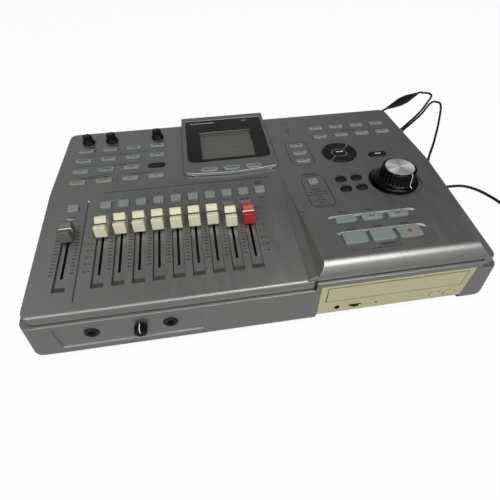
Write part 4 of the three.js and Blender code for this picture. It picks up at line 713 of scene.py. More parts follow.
wall_x, lift, curve_steps = 36, 0.02, 8
fillet_sections = []
for distance in (3.6, 5, 8, 20, 40, 60, 80, 100, 115, 125, 132, 138, 142):
    ground = slope_top(distance)
    rise = min(4.6, 0.75 * (deck_height - ground))
    foot = rise * 1.15
    section = [spot(wall_x, distance, ground - 0.2)]
    for step in range(curve_steps + 1):
        t = step / curve_steps
        x = wall_x - foot * (1 - t) ** 2 + 0.62 * rise * t * t + lift
        section.append(spot(x, distance, ground + rise * t * t + lift))
    fillet_sections.append(section)
fillet = lofted("block_fillet", fillet_sections)
# Painted shade: the fillet's paint is darkened, as if shaded in the crease.
wear(fillet, silver_paint("silver_fillet_painted_shade", False, 0.3), "case")

# The printing on the deck: dark ink, screen-printed on the paint before assembly. Fader scales with
# plain numbers, lines and frames round groups of keys, and rows of short plain dashes.
ink_depth, ink_middle = 0.00012, -0.00003


def ink(name, place, bars=(), words=(), signs=(), frames=()):
    """Thin raised ink on a flat place: bars, numbers, signs of few sides and round-cornered frames."""
    parts = []
    if bars:
        bpy.ops.mesh.primitive_cube_add(size=0.001, location=(0, 0, -0.001))
        seed = bpy.context.object
        mode("EDIT")
        for x, y, width, depth in bars:
            bpy.ops.mesh.primitive_cube_add(
                size=1, location=(x / 1000, y / 1000, ink_middle),
                scale=(width / 1000, depth / 1000, ink_depth),
            )
        mode("OBJECT")
        pick(seed, "FACE", lambda centre, normal: centre.z < -0.0004)
        bpy.ops.mesh.select_linked()
        bpy.ops.mesh.delete(type="VERT")
        mode("OBJECT")
        parts.append(seed)
    for text, x, y, size in words:
        bpy.ops.object.text_add(location=(x / 1000, y / 1000, ink_middle))
        letters = bpy.context.object.data
        letters.body = text
        letters.size = size / 1000
        letters.align_x = letters.align_y = "CENTER"
        letters.extrude = ink_depth / 2
        letters.resolution_u = 3
        bpy.ops.object.convert(target="MESH")
        parts.append(bpy.context.object)
    for sides, x, y, radius, turn in signs:
        bpy.ops.mesh.primitive_cylinder_add(
            vertices=sides, radius=radius / 1000, depth=ink_depth,
            location=(x / 1000, y / 1000, ink_middle), rotation=(0, 0, math.radians(turn)),
        )
        parts.append(bpy.context.object)
    for x, y, width, depth, corner, line in frames:
        bpy.ops.mesh.primitive_plane_add(size=1, location=(x / 1000, y / 1000, ink_middle - ink_depth / 2))
        loop = bpy.context.object
        loop.scale = (width / 1000, depth / 1000, 1)
        bpy.ops.object.transform_apply()
        mode("EDIT")
        bpy.ops.mesh.bevel(offset=corner / 1000, segments=6, affect="VERTICES")
        bpy.ops.mesh.inset(thickness=line / 1000)
        bpy.ops.mesh.delete(type="FACE")
        bpy.ops.mesh.select_all(action="SELECT")
        bpy.ops.mesh.extrude_region_move(TRANSFORM_OT_translate={"value": (0, 0, ink_depth)})
        faces_out()
        parts.append(loop)
    marks = joined(name, parts)
    marks.data.transform(place)
    return marks


def printing(name, colour, roughness=0.55):
    """Screen ink: even colour, thinner in small worn patches, with a faint mesh grain."""
    finish = Finish(name)
    place = finish.place()
    thin = finish.noise(place, 420, 3, 0.7)
    faded = tuple(c * 0.8 + 0.04 for c in colour)
    return finish.surface(
        finish.mix((thin > 0.62) * 0.5, colour, faded),
        roughness + (thin - 0.5) * 0.2, finish.noise(place, 3200, 1), 0.00001, 0.5,
    )


# Dark ink for print, also used for the painted gap shadows on the drive's bezel.
dark_ink_and_painted_shadow = printing("dark_ink_and_painted_shadow", (0.012, 0.012, 0.012))
white_ink = printing("white_ink", (0.75, 0.75, 0.72))
red_ink = printing("red_ink", (0.34, 0.05, 0.04))


def dashes(x, y, width, depth, parts):
    """A row of short dashes: its middle, its whole width, their depth and how many."""
    gap = 0.8
    share = (width - gap * (parts - 1)) / parts
    return [(x - width / 2 + share / 2 + i * (share + gap), y, share, depth) for i in range(parts)]


knob_x, knob_distance, rule = (-184.3, -156.3, -100.3), 249, 0.5
fader_x = [-182.2] + [-150.2 + 17.62 * i for i in range(9)]
deck_bars = [
    (-147, 218, 84, rule), (-147, 196.4, 84, rule), (-170, 175.4, 46, rule), (-115, 175.4, 46, rule),
    (-142.3, 166, rule, 16),
]
deck_bars += dashes(-137, 214.8, 14, 1.3, 3) + dashes(-142, 193.2, 15, 1.3, 3)
deck_bars += dashes(-168, 172.4, 30, 1.3, 4) + dashes(-116, 172.4, 22, 1.3, 3)
for x in knob_x:
    deck_bars += [(side, knob_distance, 2.4, rule) for side in (x - 9.6, x + 9.6)] + [(x, 258.6, rule, 2)]
deck_bars += dashes(65.6, 241.6, 6, 1.2, 1) + dashes(66.2, 255.2, 7, 1.2, 2)
deck_bars += dashes(141, 225.6, 17, 1.2, 3)
deck_bars += dashes(67, 139.4, 13, 1.2, 2) + dashes(67, 137.4, 20, 0.7, 3)
for row, width in enumerate((10, 18, 20, 6, 9, 6, 16)):
    deck_bars += dashes(66.8, 110.8 - row * 4.4, width, 0.9, 1 + width // 6)
for x in (98, 115.35):
    for distance in (113.4, 130.8):
        deck_bars += dashes(x, distance, 6, 1.1, 1)
for x in (81.4, 107.5):
    deck_bars += dashes(x, 71, 8, 1, 1)
for x in (81.4, 107.5, 133.6):
    deck_bars += dashes(x, 46.6, 8, 1.1, 1)
deck_bars += dashes(95.9, 19.4, 10, 1, 2) + dashes(108.5, 23.4, 14, 1.2, 2)
deck_bars += [
    (73.8, 22.4, rule, 5.2), (81.8, 19.8, 16, rule), (111, 19.8, 17, rule), (119.4, 22.4, rule, 5.2),
]
deck_bars += dashes(42.7, 77.6, 4, 1.1, 1)
deck_marks = ink(
    "deck_marks", on_deck, deck_bars, signs=[(3, 133.6, 71, 0.9, 180)],
    frames=[
        (66.9, 182, 27.5, 50.5, 7, 0.8), (67.8, 108.3, 26, 54.5, 9, 0.8),
        (-100.3, 185.6, 20.8, 9.8, 4.8, 0.8),
    ],
)
wear(deck_marks, dark_ink_and_painted_shadow, "case")

slope_bars = [(-67, -3.8, 174, rule)]
slope_words = [(str(i + 1), fader_x[i + 1], -12.2, 3.6) for i in range(8)]
slope_signs = [(12, fader_x[0], -12.2, 0.8, 0), (12, fader_x[9], -12.2, 0.8, 0)]
scale_numbers = ("6", "0", "5", "10", "15", "20", "30", "40")
tick_rows, first_tick, tick_pitch = 15, -48.6, 3.93
for row in range(tick_rows):
    y = first_tick - row * tick_pitch
    length = 3.8 if row % 2 == 0 else 2.6
    for x in fader_x[1:9]:
        slope_bars.append((x + 8.81, y, length, 0.8))
    slope_bars += [(fader_x[0] - 9, y, length + 0.8, 0.8), (fader_x[0] + 9, y, length, 0.8)]
    if row % 2 == 0:
        for x, side in ((fader_x[1] - 8.6, -1), (fader_x[9] + 8.6, 1)):
            slope_bars.append((x, y, 2, 0.9))
            slope_words.append((scale_numbers[row // 2], x + side * 4, y, 3.4))
slope_bars += dashes(fader_x[0], -35.4, 8, 1.1, 1) + dashes(fader_x[9], -34.6, 9, 1.1, 2)
slope_bars += dashes(8.4, -34.6, 7, 1, 2) + dashes(8.4, -13.2, 7, 1, 1) + dashes(8.4, -10.8, 5, 1.1, 1)
slope_marks = ink("fader_scales", on_slope, slope_bars, slope_words, slope_signs)
wear(slope_marks, dark_ink_and_painted_shadow, "case")
divider_dot = ink("divider_dot", on_slope, signs=[(20, -168.4, -14.6, 0.9, 0)])
wear(divider_dot, white_ink, "case")

# Ten fader caps on flat sprung levers: the first is grey, eight are cream and the last is red. Each
# is a saddle with a line moulded across its valley, and pushes on to its lever.
cap_finishes = [moulded("cap_grey", (0.105, 0.105, 0.1), 0.45, 0.00003, 2400, 0.12)]
cap_finishes += [moulded("cap_cream", (0.655, 0.645, 0.45), 0.34, 0.00003, 2400, 0.04, (0.4, 0.38, 0.3))] * 8
cap_finishes += [moulded("cap_red", (0.36, 0.017, 0.02), 0.36, 0.00003, 2400, 0.12)]
fader_rests = (12.7, 11.2, 9.4, 9.4, 9.5, 10.2, 10.2, 10.4, 15.7, 15)
slot_end = -45.7
for i, x in enumerate(fader_x):
    cap = dressed(f"fader_{i}", 0.7, 3, 28)
    wear(cap, cap_finishes[i], f"fader_{i}")
    y = slot_end - fader_rests[i]
    bpy.ops.mesh.primitive_cube_add(
        size=1, location=(x / 1000, y / 1000, 0.0072), scale=(0.0112, 0.0013, 0.0046),
    )
    line = bpy.context.object
    line.name = f"fader_{i}_line"
    bpy.ops.object.transform_apply()
    pick(line, "FACE", lambda centre, normal: normal.z > 0.9)
    bpy.ops.mesh.inset(thickness=0.0002)
    bpy.ops.transform.translate(value=(0, 0, 0.0001))
    mode("OBJECT")
    line.data.transform(on_slope)
    wear(line, white_ink if i in (0, 9) else dark_ink_and_painted_shadow, f"fader_{i}")

# The boards under the deck: glass-fibre laminate with green solder mask and tinned tracks, black
# fader bodies and switches soldered on top. They hang from posts of the upper shell.


def covered(node, material):
    """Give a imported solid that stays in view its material."""
    materials = frame["nodes"][node].data.materials
    materials.clear()
    materials.append(material)


def circuit(name, plane, board_top, parts_colour=(0.012, 0.012, 0.013), board=(0.012, 0.09, 0.04)):
    """Green laminate below a level of a plane, in metres, and black component bodies above it."""
    finish = Finish(name)
    place = finish.place()
    height = finish.axis(finish.over(plane), 2)
    tracks = finish.node("TexVoronoi", {"feature": "DISTANCE_TO_EDGE"}, {
        "Vector": finish.place(scale=(1, 2.4, 1)), "Scale": 130,
    })
    pads = finish.node("TexVoronoi", {}, {"Vector": place, "Scale": 190})
    weave = finish.noise(place, 1500, 3)
    mask = finish.mix(weave * 0.5, board, tuple(c * 1.5 for c in board))
    mask = finish.mix(tracks < 0.05, mask, tuple(c * 1.9 + 0.01 for c in board))
    mask = finish.mix(pads < 0.14, mask, (0.5, 0.5, 0.47))
    sheen = tuple(c * 1.6 + 0.004 for c in parts_colour)
    shells = finish.mix(finish.noise(place, 60, 3), parts_colour, sheen)
    above = height > board_top
    return finish.surface(
        finish.mix(above, mask, shells),
        0.34 + above * 0.16 + (weave - 0.5) * 0.1, weave + tracks * 6, 0.00004, 0.4,
    )


slope_board = circuit("fader_board_finish", on_slope, -0.0102)
flat_board = circuit("key_board_finish", Matrix.Identity(4), 0.0651)
main_board = circuit("main_board_finish", Matrix.Identity(4), 0.01405)
jack_board = circuit("jack_board_finish", Matrix.Identity(4), 0.02415)
for node, laminate in (
    ("fader_board", slope_board), ("key_board", flat_board), ("main_board", main_board),
    ("front_jack_board", jack_board), ("rear_jack_board", jack_board),
):
    covered(node, laminate)

# The hard disk and the disc drive's chassis: a cast lid with a fine blasted skin, and zinc-plated
# sheet steel, folded and spot-welded. Both are screwed to the lower shell.
cast = Finish("disk_casting", Metallic=0.9)
cast_place = cast.place()
grit = cast.noise(cast_place, 1800, 3, 0.7)
smear = cast.noise(cast_place, 30, 4)
cast.surface(
    cast.mix(smear, (0.3, 0.3, 0.31), (0.5, 0.5, 0.5)),
    0.42 + (grit - 0.5) * 0.3, grit, 0.00004, 0.6,
)
zinc = Finish("zinc_sheet", Metallic=1.0)
spangle = zinc.node("TexVoronoi", {}, {"Vector": zinc.place(), "Scale": 260})
rolled = zinc.noise(zinc.place(scale=(0.05, 1, 1)), 900, 3, 0.7)
zinc.surface(
    zinc.mix(spangle, (0.42, 0.43, 0.44), (0.62, 0.63, 0.62)),
    0.28 + rolled * 0.2, rolled, 0.00002, 0.5,
)
covered("hard_disk", cast.material)
covered("drive_chassis", zinc.material)

# The keys: moulded in rows on thin flexible strips, grey-green and slightly translucent, printed
# with dark marks. The cursor ring, the small keys and three others are black.


def marked(node, name, material, plane, height, **marks):
    """Printed marks on top of a strip's keys, which travel with that strip."""
    raised = plane @ Matrix.Translation((0, 0, height / 1000 + 0.00002))
    print_on_key = ink(f"{node}_{name}", raised, **marks)
    wear(print_on_key, material, node)


key_grey = Finish(
    "key_grey", Subsurface_Weight=0.08, Subsurface_Radius=(0.002, 0.002, 0.002), Subsurface_Scale=1.0,
)
key_place = key_grey.place()
key_cloud = key_grey.noise(key_place, 34, 3)
key_skin = key_grey.noise(key_place, 2200, 2)
key_rub = key_grey.noise(key_place, 240, 4, 0.7)
key_body = key_grey.mix(key_cloud, (0.19, 0.225, 0.212), (0.235, 0.262, 0.25))
key_grey.surface(
    key_grey.mix((key_rub > 0.66) * 0.35, key_body, (0.33, 0.34, 0.33)),
    0.36 + (key_rub - 0.5) * 0.3, key_skin, 0.00004, 0.5,
)
key_black = moulded("key_black", (0.007, 0.007, 0.008), 0.34, 0.00003, 2200, 0.2, (0.07, 0.07, 0.07), 0.35)
for node in (
    "track_key_strip", "left_rear_keys", "left_front_keys", "right_panel_keys", "mode_key_strip",
    "soft_key_strip", "zero_key", "rewind_key", "forward_key", "stop_key", "play_key", "record_key",
):
    wear(dressed(node, 0.55, 3), key_grey.material, node)
for node in ("left_black_key", "exit_key", "small_black_keys", "cursor_keys", "enter_key"):
    wear(dressed(node, 0.5, 3), key_black, node)

column_x = [knob_x[0] + 28 * i for i in range(4)]
rear_bars = []
for distance, widths in ((228.8, (11, 8, 9, 10)), (207.2, (12, 9, 8, 8))):
    for x, width in zip(column_x, widths):
        rear_bars += dashes(x, distance, width, 1.1, 2)
front_bars = []
for x, width in zip(column_x[:3], (4, 10, 5)):
    front_bars += dashes(x, 185.6, width, 1.1, 2 if width > 5 else 1)
marked("left_rear_keys", "marks", dark_ink_and_painted_shadow, on_deck, 1.6, bars=rear_bars)
marked("left_front_keys", "marks", dark_ink_and_painted_shadow, on_deck, 1.6, bars=front_bars, signs=[
    (3, column_x[2], 164, 1.35, 180), (3, column_x[3], 164, 1.35, 0),
])
red_bars = dashes(column_x[0], 164, 11, 1.1, 2) + dashes(column_x[1], 164, 11, 1.1, 2)
marked("left_front_keys", "red_marks", red_ink, on_deck, 1.6, bars=red_bars)
right_bars = []
for distance, widths in ((236.3, (8, 9, 7, 8)), (214.7, (9, 6, 5, 7))):
    for i, width in enumerate(widths):
        right_bars += dashes(101.8 + 27.2 * i, distance, width, 1.1, 2)
marked("right_panel_keys", "marks", dark_ink_and_painted_shadow, on_deck, 1.6, bars=right_bars)
mode_bars = dashes(67, 198.7, 11, 1.1, 2) + dashes(67, 165.1, 9, 1.1, 2)
marked("mode_key_strip", "marks", dark_ink_and_painted_shadow, on_deck, 1.6, bars=mode_bars)
red_mode = dashes(67, 182.9, 10, 0.8, 2) + dashes(67, 180.9, 10, 0.8, 3)
marked("mode_key_strip", "red_marks", red_ink, on_deck, 1.6, bars=red_mode)
marked("enter_key", "marks", white_ink, on_deck, 1.6, bars=dashes(113.6, 175.5, 8.6, 1.5, 2))
marked("exit_key", "marks", white_ink, on_deck, 1.6, bars=dashes(156.4, 164.4, 7, 1.5, 2))
for node, places, turn in (("rewind_key", (106, 108.8), 90), ("forward_key", (132.2, 135), -90)):
    marked(node, "marks", dark_ink_and_painted_shadow, on_deck, 1.4, signs=[(3, x, 60, 1.5, turn) for x in places])
marked("record_key", "marks", red_ink, on_deck, 1.4, signs=[(28, 133.6, 34.6, 2.3, 0)])

# Three potentiometer knobs on the deck and the level knob in the front wall: black moulded knobs
# with moulded ribs and a white pointer line, pushed on to their shafts.


def fluted(name, rings, flutes, place, share=0.5, steps=8):
    """A round piece whose rings (radius, height, groove depth) follow evenly spaced grooves."""
    sections = []
    for radius, height, groove in rings:
        section = []
        for step in range(flutes * steps):
            turn = 2 * math.pi * step / (flutes * steps)
            wave = 0.5 + 0.5 * math.cos(turn * flutes)
            cut = groove * min(wave / share, 1)
            section.append(place @ Vector((
                (radius - cut) / 1000 * math.cos(turn), (radius - cut) / 1000 * math.sin(turn), height / 1000,
            )))
        sections.append(section)
    return lofted(name, sections)


def stripe(name, path, width, place, turn):
    """A thin painted line that follows a path of (radius, height) points over a round piece."""
    sections = []
    side = Matrix.Rotation(turn, 4, "Z")
    for number, (radius, height) in enumerate(path):
        before = Vector(path[max(number - 1, 0)])
        after = Vector(path[min(number + 1, len(path) - 1)])
        along = (after - before).normalized()
        out = Vector((-along.y, along.x))
        if out.x < 0 or (abs(out.x) < 1 / 7 and out.y < 0):
            out = -out
        corners = [(-1, -0.06), (1, -0.06), (1, 0.07), (-1, 0.07)]
        sections.append([
            place @ side @ Vector((
                (radius + out.x * lift) / 1000, reach * width / 2000, (height + out.y * lift) / 1000,
            ))
            for reach, lift in corners
        ])
    return lofted(name, sections)


knob_black = moulded("knob_black", (0.004, 0.004, 0.0045), 0.26, 0.00003, 1800, 0.2, (0.03, 0.03, 0.03), 0.2)
knob_rings = [
    (5.6, 0.35, 0), (7.1, 0.35, 0), (7.4, 0.7, 0), (7.35, 2.2, 0), (6.9, 2.8, 0.1), (6.2, 3.2, 0.6),
    (5.9, 3.8, 0.75), (5.2, 9.4, 0.7), (4.9, 10.1, 0.5), (4.5, 10.4, 0.2), (3.6, 10.45, 0), (3.4, 10.2, 0),
    (1, 10.2, 0),
]
knob_pointer = [(1.6, 10.22), (3.3, 10.24), (3.8, 10.5), (4.6, 10.42), (5.05, 9.6), (5.4, 8)]
for number, x, turn in zip((1, 2, 3), knob_x, (110, 90, 118)):
    on_spot = spot(x, knob_distance, deck_height)
    knob = fluted(f"panel_knob_{number}_grip", knob_rings, 14, facing(on_spot, 90, "Z"))
    wear(knob, knob_black, f"panel_knob_{number}")
    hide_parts(f"panel_knob_{number}")
    pointer = stripe(
        f"panel_knob_{number}_pointer", knob_pointer, 0.7, Matrix.Translation(on_spot), math.radians(turn),
    )
    wear(pointer, white_ink, f"panel_knob_{number}")

socket_height = 31
at_level_knob = facing(spot(-118.5, 1.2, socket_height), 90)
level_rings = [
    (4.2, 0.02, 0), (5.5, 0.02, 0), (5.75, 0.4, 0.2), (5.75, 1, 0.9), (5.5, 6.8, 0.9), (5.2, 7.6, 0.7),
    (4.7, 7.95, 0.3), (3.4, 8, 0), (1, 8, 0),
]
level_knob = fluted("front_level_knob_grip", level_rings, 12, at_level_knob)
wear(level_knob, knob_black, "front_level_knob")
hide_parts("front_level_knob")
level_path = [(0.4, 8.02), (3.4, 8.02), (4.75, 7.97), (5.3, 7.65), (5.6, 6.8), (5.85, 1.2)]
level_line = stripe("front_level_knob_line", level_path, 0.75, at_level_knob, math.radians(90))
wear(level_line, white_ink, "front_level_knob")

# The jog dial: a large glossy black knob with a fluted side on a broad skirt, capped with a disc of
# spun aluminium with painted highlight wedges, and a white line down one side. It turns freely on its
# encoder's shaft.
dial_rings = [
    (21, -0.85, 0), (23.1, -0.85, 0), (23.4, -0.5, 0), (23.4, 1.7, 0), (23.1, 2.3, 0), (22.2, 2.9, 0),
    (20.8, 3.3, 0), (19.6, 3.6, 0), (19.0, 4.0, 0), (18.75, 4.4, 0.35), (18.6, 5, 0.75), (17.95, 14.6, 0.75),
    (17.8, 15.4, 0.45), (17.7, 15.9, 0), (17.5, 16.5, 0), (17.1, 16.85, 0), (16.6, 17, 0), (15.3, 17, 0),
    (15.05, 16.8, 0), (12, 16.75, 0),
]
dial = fluted("jog_dial_grip", dial_rings, 30, at_dial, 0.6)
dial_black = moulded("dial_black", (0.002, 0.002, 0.0023), 0.13, 0.000012, 1500, 0.2, (0.01, 0.01, 0.01), 0.2)
wear(dial, dial_black, "jog_dial")
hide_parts("jog_dial")
dial_path = [
    (15.4, 17.03), (16.6, 17.03), (17.15, 16.87), (17.55, 16.5), (17.8, 15.5), (17.97, 14.6), (18.62, 5),
    (18.8, 4.4), (19.05, 4.02), (19.65, 3.63), (20.8, 3.33), (22.2, 2.93),
]
dial_line = stripe("jog_dial_line", dial_path, 0.95, at_dial, math.radians(-68))
wear(dial_line, white_ink, "jog_dial")

spun = Finish("spun_cap", Metallic=0.5)
spun_place = spun.place(centre=tuple(at_dial.to_translation()))
grooves = spun.node(
    "TexWave", {"wave_type": "RINGS", "rings_direction": "Z"},
    {"Vector": spun_place, "Scale": 900, "Distortion": 0.4, "Detail": 2},
)
around = spun.node("TexGradient", {"gradient_type": "RADIAL"}, {"Vector": spun_place})
# Painted highlights: light and dark wedges round the cap's centre, painted into its colour for the spun
# metal's reflections.
painted_highlight_wedges = spun.node("ValToRGB", {"stops": [
    (0.0, (0.5, 0.5, 0.5)), (0.07, (1, 1, 0.99)), (0.16, (0.5, 0.5, 0.5)), (0.3, (0.36, 0.36, 0.36)),
    (0.42, (0.8, 0.8, 0.8)), (0.5, (1, 1, 0.99)), (0.6, (0.62, 0.62, 0.62)), (0.72, (0.38, 0.38, 0.38)),
    (0.84, (0.56, 0.56, 0.56)), (0.93, (0.85, 0.85, 0.85)), (1.0, (0.5, 0.5, 0.5)),
]}, {0: around})
spun.surface(
    spun.mix(grooves * 0.16, painted_highlight_wedges, (0.16, 0.16, 0.16)),
    0.4 + grooves * 0.12, grooves, 0.00002, 0.7,
)
cap_rings = [
    (14.6, 16.72), (14.8, 16.85), (14.8, 17.45), (14.65, 17.65), (14.4, 17.7), (13.9, 17.7), (1, 17.68),
]
spun_cap = turned("jog_dial_cap_disc", cap_rings, 96, at_dial)
wear(spun_cap, spun.material, "jog_dial")
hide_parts("jog_dial_cap")

# The display hood: a silver-painted frame that stands on the deck and leans a little to the front,
# with rounded edges. The lens is one acrylic sheet, printed black behind except for its window.
on_hood = (
    Matrix.Translation((-0.0163, case_front + 0.152, 0.0789))
    @ Matrix.Rotation(math.atan2(6.7, 121), 4, "X")
)
hood = dressed("display_hood", 0.75, 3, 40, 0)
wear(hood, silver, "case")

lens_black = Finish("lens_black", Specular_IOR_Level=0.4)
smears = lens_black.noise(lens_black.place(scale=(1, 0.4, 1), turn=(0, 0, 0.5)), 60, 4, 0.7)
lens_black.surface(
    lens_black.mix(smears, (0.006, 0.0065, 0.007), (0.011, 0.0115, 0.012)),
    0.1 + smears * 0.16, lens_black.noise(lens_black.place(), 40, 2), 0.00002, 0.3,
)
lens_sheet = copied("display_lens", 0)
cutter = slab("window_cutter", (-32, -29, -10), (32, 29, 10))
at_window = on_hood @ Matrix.Translation((0, 0.0566, 0)) @ Matrix.Translation(-spot(0, 0, 0))
cutter.data.transform(at_window)
finished(lens_sheet, "BOOLEAN", object=cutter, operation="DIFFERENCE", solver="EXACT")
bpy.data.objects.remove(cutter)
rounded(lens_sheet, 0.25, 2, 40)
wear(lens_sheet, lens_black.material, "case")
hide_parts("display_lens")
lens_marks = ink(
    "lens_dashes", on_hood @ Matrix.Translation((0, 0, 0.00003)),
    dashes(-27, 104.6, 30, 0.9, 6) + dashes(27, 104.6, 6, 0.7, 1),
)
wear(lens_marks, white_ink, "case")

# The window itself is the same sheet left clear, and under it lies the display module: a steel frame
# round a reflective liquid crystal, switched off, with faint rows of dots and a darker head line.
clear = Finish("window_clear", Alpha=0.16, Roughness=0.06)
film = clear.noise(clear.place(), 50, 3)
clear.feed("Base Color", clear.mix(film, (0.03, 0.03, 0.03), (0.05, 0.05, 0.05)))
clear.feed("Roughness", 0.06 + film * 0.1)
window = slab("lens_window", (-31.9, -28.9, -1.35), (31.9, 28.9, -0.12))
window.data.transform(at_window)
finished(window, "BEVEL", width=0.0001, segments=1)
wear(window, clear.material, "case")

crystal = Finish("liquid_crystal")
panel_place = crystal.over(on_hood)
across, along = crystal.axis(panel_place, 0), crystal.axis(panel_place, 1)
dots = crystal.node("TexBrick", {"offset": 0.0}, {
    "Vector": panel_place, "Scale": 1, "Color1": (0, 0, 0, 1), "Color2": (0.06, 0.06, 0.06, 1),
    "Mortar": (1, 1, 1, 1), "Mortar Size": 0.00008, "Brick Width": 0.0005, "Row Height": 0.0005,
})
bloom = crystal.noise(panel_place, 30, 3)
field = crystal.mix(bloom, (0.18, 0.184, 0.162), (0.21, 0.213, 0.19))
rows = crystal.node("TexWave", {"bands_direction": "Y"}, {"Vector": panel_place, "Scale": 33})
text_rows = (rows > 0.86) * (crystal.noise(crystal.place(scale=(1, 0.2, 1)), 420, 2) > 0.47)
field = crystal.mix(text_rows * 0.3, field, (0.07, 0.072, 0.062))
head = (along > 0.0772) * (along < 0.0842)
field = crystal.mix(head * 0.28, field, (0.05, 0.052, 0.045))
field = crystal.mix(dots * 0.12, field, (0.2, 0.2, 0.18))
rim_mask = (across < -0.0312) + (across > 0.0312) + (along < 0.0284) + (along > 0.0848)
field = crystal.mix(rim_mask > 0.5, field, (0.012, 0.012, 0.012))
crystal.surface(
    field,
    0.34 + bloom * 0.1, bloom, 0.00001, 0.2,
)
covered("display_module", crystal.material)

# Three soft keys stand in the hood's front edge, on a strip of their own, each with dark dashes.
soft_bars = []
for x in (-24.6, 0, 24.6):
    soft_bars += dashes(x, 7.4, 11, 1.2, 3)
marked("soft_key_strip", "marks", dark_ink_and_painted_shadow, on_hood, 1.0, bars=soft_bars)

# The front wall: two quarter-inch sockets, each a black threaded collar on a board behind the wall,
# its bore closed by a near-black disc of painted shade. The shallow panel round them and the level
# knob is part of the lower shell.
socket_black = moulded(
    "socket_black", (0.006, 0.006, 0.007), 0.3, 0.00002, 1800, 0.2, (0.05, 0.05, 0.05), 0.35,
)
# Painted shade: a near-black finish for the discs that close each bore and the headphone socket's hole.
bore_painted_shade = moulded(
    "bore_painted_shade", (0.0015, 0.0015, 0.0015), 0.7, 0.00002, 1800, 0.2, (0.004, 0.004, 0.004), 0.1,
)


socket_radius, bore = 6.2, 3.25


def socket(name, x, face, turn):
    """A socket's raised ring and a near-black disc in its bore as painted shade; turn is 1 where it looks to
    the front.
    """
    at = facing(spot(x, face, socket_height), 90 * turn)
    ring = turned(f"{name}_ring", [
        (socket_radius - 0.02, -0.3), (socket_radius - 0.02, 0.02), (socket_radius - 0.35, 0.3),
        (socket_radius - 1.3, 0.34),
        (bore + 0.9, 0.3), (bore + 0.15, -0.1),
    ], 40, at)
    wear(ring, socket_black, "case")
    # Painted shade: the near-black disc in the bore.
    hollow = turned(f"{name}_bore", [(bore - 0.02, -0.12), (bore - 0.1, 0.31)], 32, at)
    wear(hollow, bore_painted_shade, "case")


for number, x in enumerate((-160.5, -92.5), 1):
    socket(f"front_socket_{number}", x, 0.8, 1)
for number in range(6):
    socket(f"rear_socket_{number + 1}", -178 + 24 * number, 276.7, -1)

# The drive's front: a cream plastic bezel with the tray's door, two push buttons with domed tops, a
# thumb wheel, a headphone socket and a pin-sized lamp. Thin dark-ink frames round door and buttons
# are painted shadow for their gaps, and the headphone socket's hole is a near-black disc of painted
# shade.
cream = moulded("drive_cream", (0.52, 0.505, 0.31), 0.46, 0.00004, 2400, 0.04, (0.3, 0.29, 0.2))
wear(dressed("drive_bezel", 0.35), cream, "case")
wear(dressed("disc_tray", 0.25), cream, "disc_tray")
for number in (1, 2):
    wear(dressed(f"drive_button_{number}", 0.3, 3, 25), cream, f"drive_button_{number}")
wheel = dressed("volume_wheel", 0.12, 2, 30)
wear(wheel, knob_black, "volume_wheel")
upright = facing(spot(0, -0.03, 0), 90)
# Painted shadow: thin dark-ink frames on the bezel round the door and buttons stand for their gaps.
gap_shadow_lines = ink("bezel_painted_gap_shadows", upright, frames=[
    (117, 39.4, 134.6, 20.2, 0.6, 0.42), (161.2, 19, 11.6, 6.1, 2.6, 0.3), (176.3, 19, 11.6, 6.1, 2.6, 0.3),
])
wear(gap_shadow_lines, dark_ink_and_painted_shadow, "case")
# Painted shade: the headphone socket's hole is a near-black disc.
jack_hole = turned(
    "drive_jack_hole_painted_shade", [(2.55, -0.3), (2.5, 0.06), (1.7, 0.08)], 28,
    upright @ Matrix.Translation((0.0622, 0.019, 0)),
)
wear(jack_hole, bore_painted_shade, "case")
drive_lamp = turned(
    "drive_lamp", [(1, -0.3), (1, 0.1), (0.8, 0.35), (0.4, 0.45)], 20,
    upright @ Matrix.Translation((0.101, 0.019, 0)),
)
lamp_lens = moulded("lamp_lens", (0.03, 0.028, 0.022), 0.25, 0.00002, 2000, 0.1, (0.1, 0.1, 0.09))
wear(drive_lamp, lamp_lens, "case")

# The status lamp beside the hood: a small round lens, dark when it is off, seated in a hole in the
# deck with a thin shadow round it.
status = turned(
    "status_lamp", [(2.35, -0.6), (2.35, 0.02), (2.1, 0.1), (1.2, 0.42), (0.4, 0.5)], 32,
    Matrix.Translation(spot(64.6, 235.2, deck_height)),
)
status_grey = moulded("status_grey", (0.06, 0.062, 0.058), 0.25, 0.00002, 2000, 0.1)
wear(status, status_grey, "case")

# Four pan-head screws under the lower shell, in its screw posts, hold the two shells together: zinc
# steel with a cross recess, the heads clear of the table.
screw_profile = [(2.9, -0.1), (3, 0.5), (2.8, 1.1), (2.2, 1.6), (1.2, 1.85), (0.3, 1.9)]
for number, (x, distance) in enumerate(((-203, 15), (203, 15), (-203, 261), (203, 261)), 1):
    under = facing(spot(x, distance, 4), 180)
    head = turned(f"case_screw_{number}", screw_profile, 32, under)
    cross = slab("cross_cutter", (-1.6, -0.3, 1), (1.6, 0.3, 3))
    other = slab("cross_cutter_2", (-0.3, -1.6, 1), (0.3, 1.6, 3))
    for cutter in (cross, other):
        cutter.data.transform(under @ Matrix.Translation(-spot(0, 0, 0)))
        finished(head, "BOOLEAN", object=cutter, operation="DIFFERENCE", solver="EXACT")
        bpy.data.objects.remove(cutter)
    wear(head, nickel, "case")

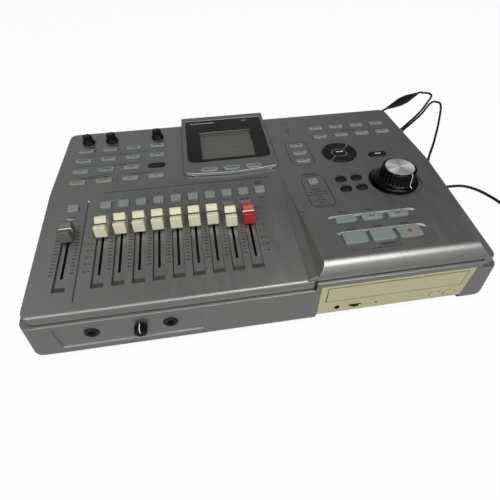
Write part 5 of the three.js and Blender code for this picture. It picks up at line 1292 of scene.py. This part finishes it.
# A plain pale table and a plain studio: a broad soft lamp above and to the left, a weaker one from
# the right, and an even room. The camera sees the room and the far table as white.
bpy.ops.mesh.primitive_plane_add(size=6, location=(0, 0, -0.00015))
table = bpy.context.object
table.name = "studio_table"
table_top = Finish("table_top", Base_Color=(0.38, 0.38, 0.38), Roughness=0.8)
rays = table_top.node("LightPath", output="Is Camera Ray")
glow = table_top.node("Emission", {}, {"Color": (1, 1, 1), "Strength": 1.1})
mixed = table_top.node(
    "MixShader", {},
    {0: rays * 0.85, 1: Reading(table_top, table_top.shader.outputs[0]), 2: glow},
)
surface = table_top.tree.nodes["Material Output"]
table_top.tree.links.new(mixed.socket, surface.inputs["Surface"])
table.data.materials.append(table_top.material)


def lamp(name, place, aim, size, power):
    """A square area lamp that faces a point."""
    bpy.ops.object.light_add(type="AREA", location=place)
    light = bpy.context.object
    light.name = name
    light.rotation_euler = (Vector(aim) - Vector(place)).to_track_quat("-Z", "Y").to_euler()
    light.data.size = size
    light.data.energy = power


lamp("key_lamp", (-0.8, -1.3, 1.1), (0, 0, 0), 1.8, 14.6)
lamp("top_lamp", (0.5, -0.5, 1.4), (0.1, -0.1, 0), 0.9, 12.8)
room = bpy.data.worlds.new("room")
scene.world = room
room.use_nodes = True
walls = Nodes(room.node_tree)


def fading(value, start, end, first, last):
    """A smooth change from one strength to another between two values."""
    return walls.node("MapRange", {"interpolation_type": "SMOOTHSTEP"}, {
        "Value": value, "From Min": start, "From Max": end, "To Min": first, "To Max": last,
    })


heading = walls.node("TexCoord", output="Generated")
right, away, up = [walls.node("SeparateXYZ", {}, {0: heading}, axis) for axis in range(3)]
behind = fading(up, 0.4, 0.85, 0.34, 0.04) * fading(right, 0.1, 0.6, 1, 0.2)
behind = behind * fading(right, -0.62, -0.36, 0.2, 1)
overhead = fading(right, -0.8, -0.55, 0, 0.5) * fading(right, -0.5, -0.15, 1, 0)
overhead = overhead * fading(up, 0.57, 0.72, 0, 1)
light = behind + overhead + fading(away, -1, 0.1, 0.4, 0)
lit = walls.node("Background", {}, {"Color": light, "Strength": 1.0})
white = walls.node("Background", {}, {"Color": (1, 1, 1), "Strength": 1.0})
to_camera = walls.node("LightPath", output="Is Camera Ray")
both = walls.node("MixShader", {}, {0: to_camera, 1: lit, 2: white})
walls.join(walls.tree.nodes["World Output"].inputs["Surface"], both)
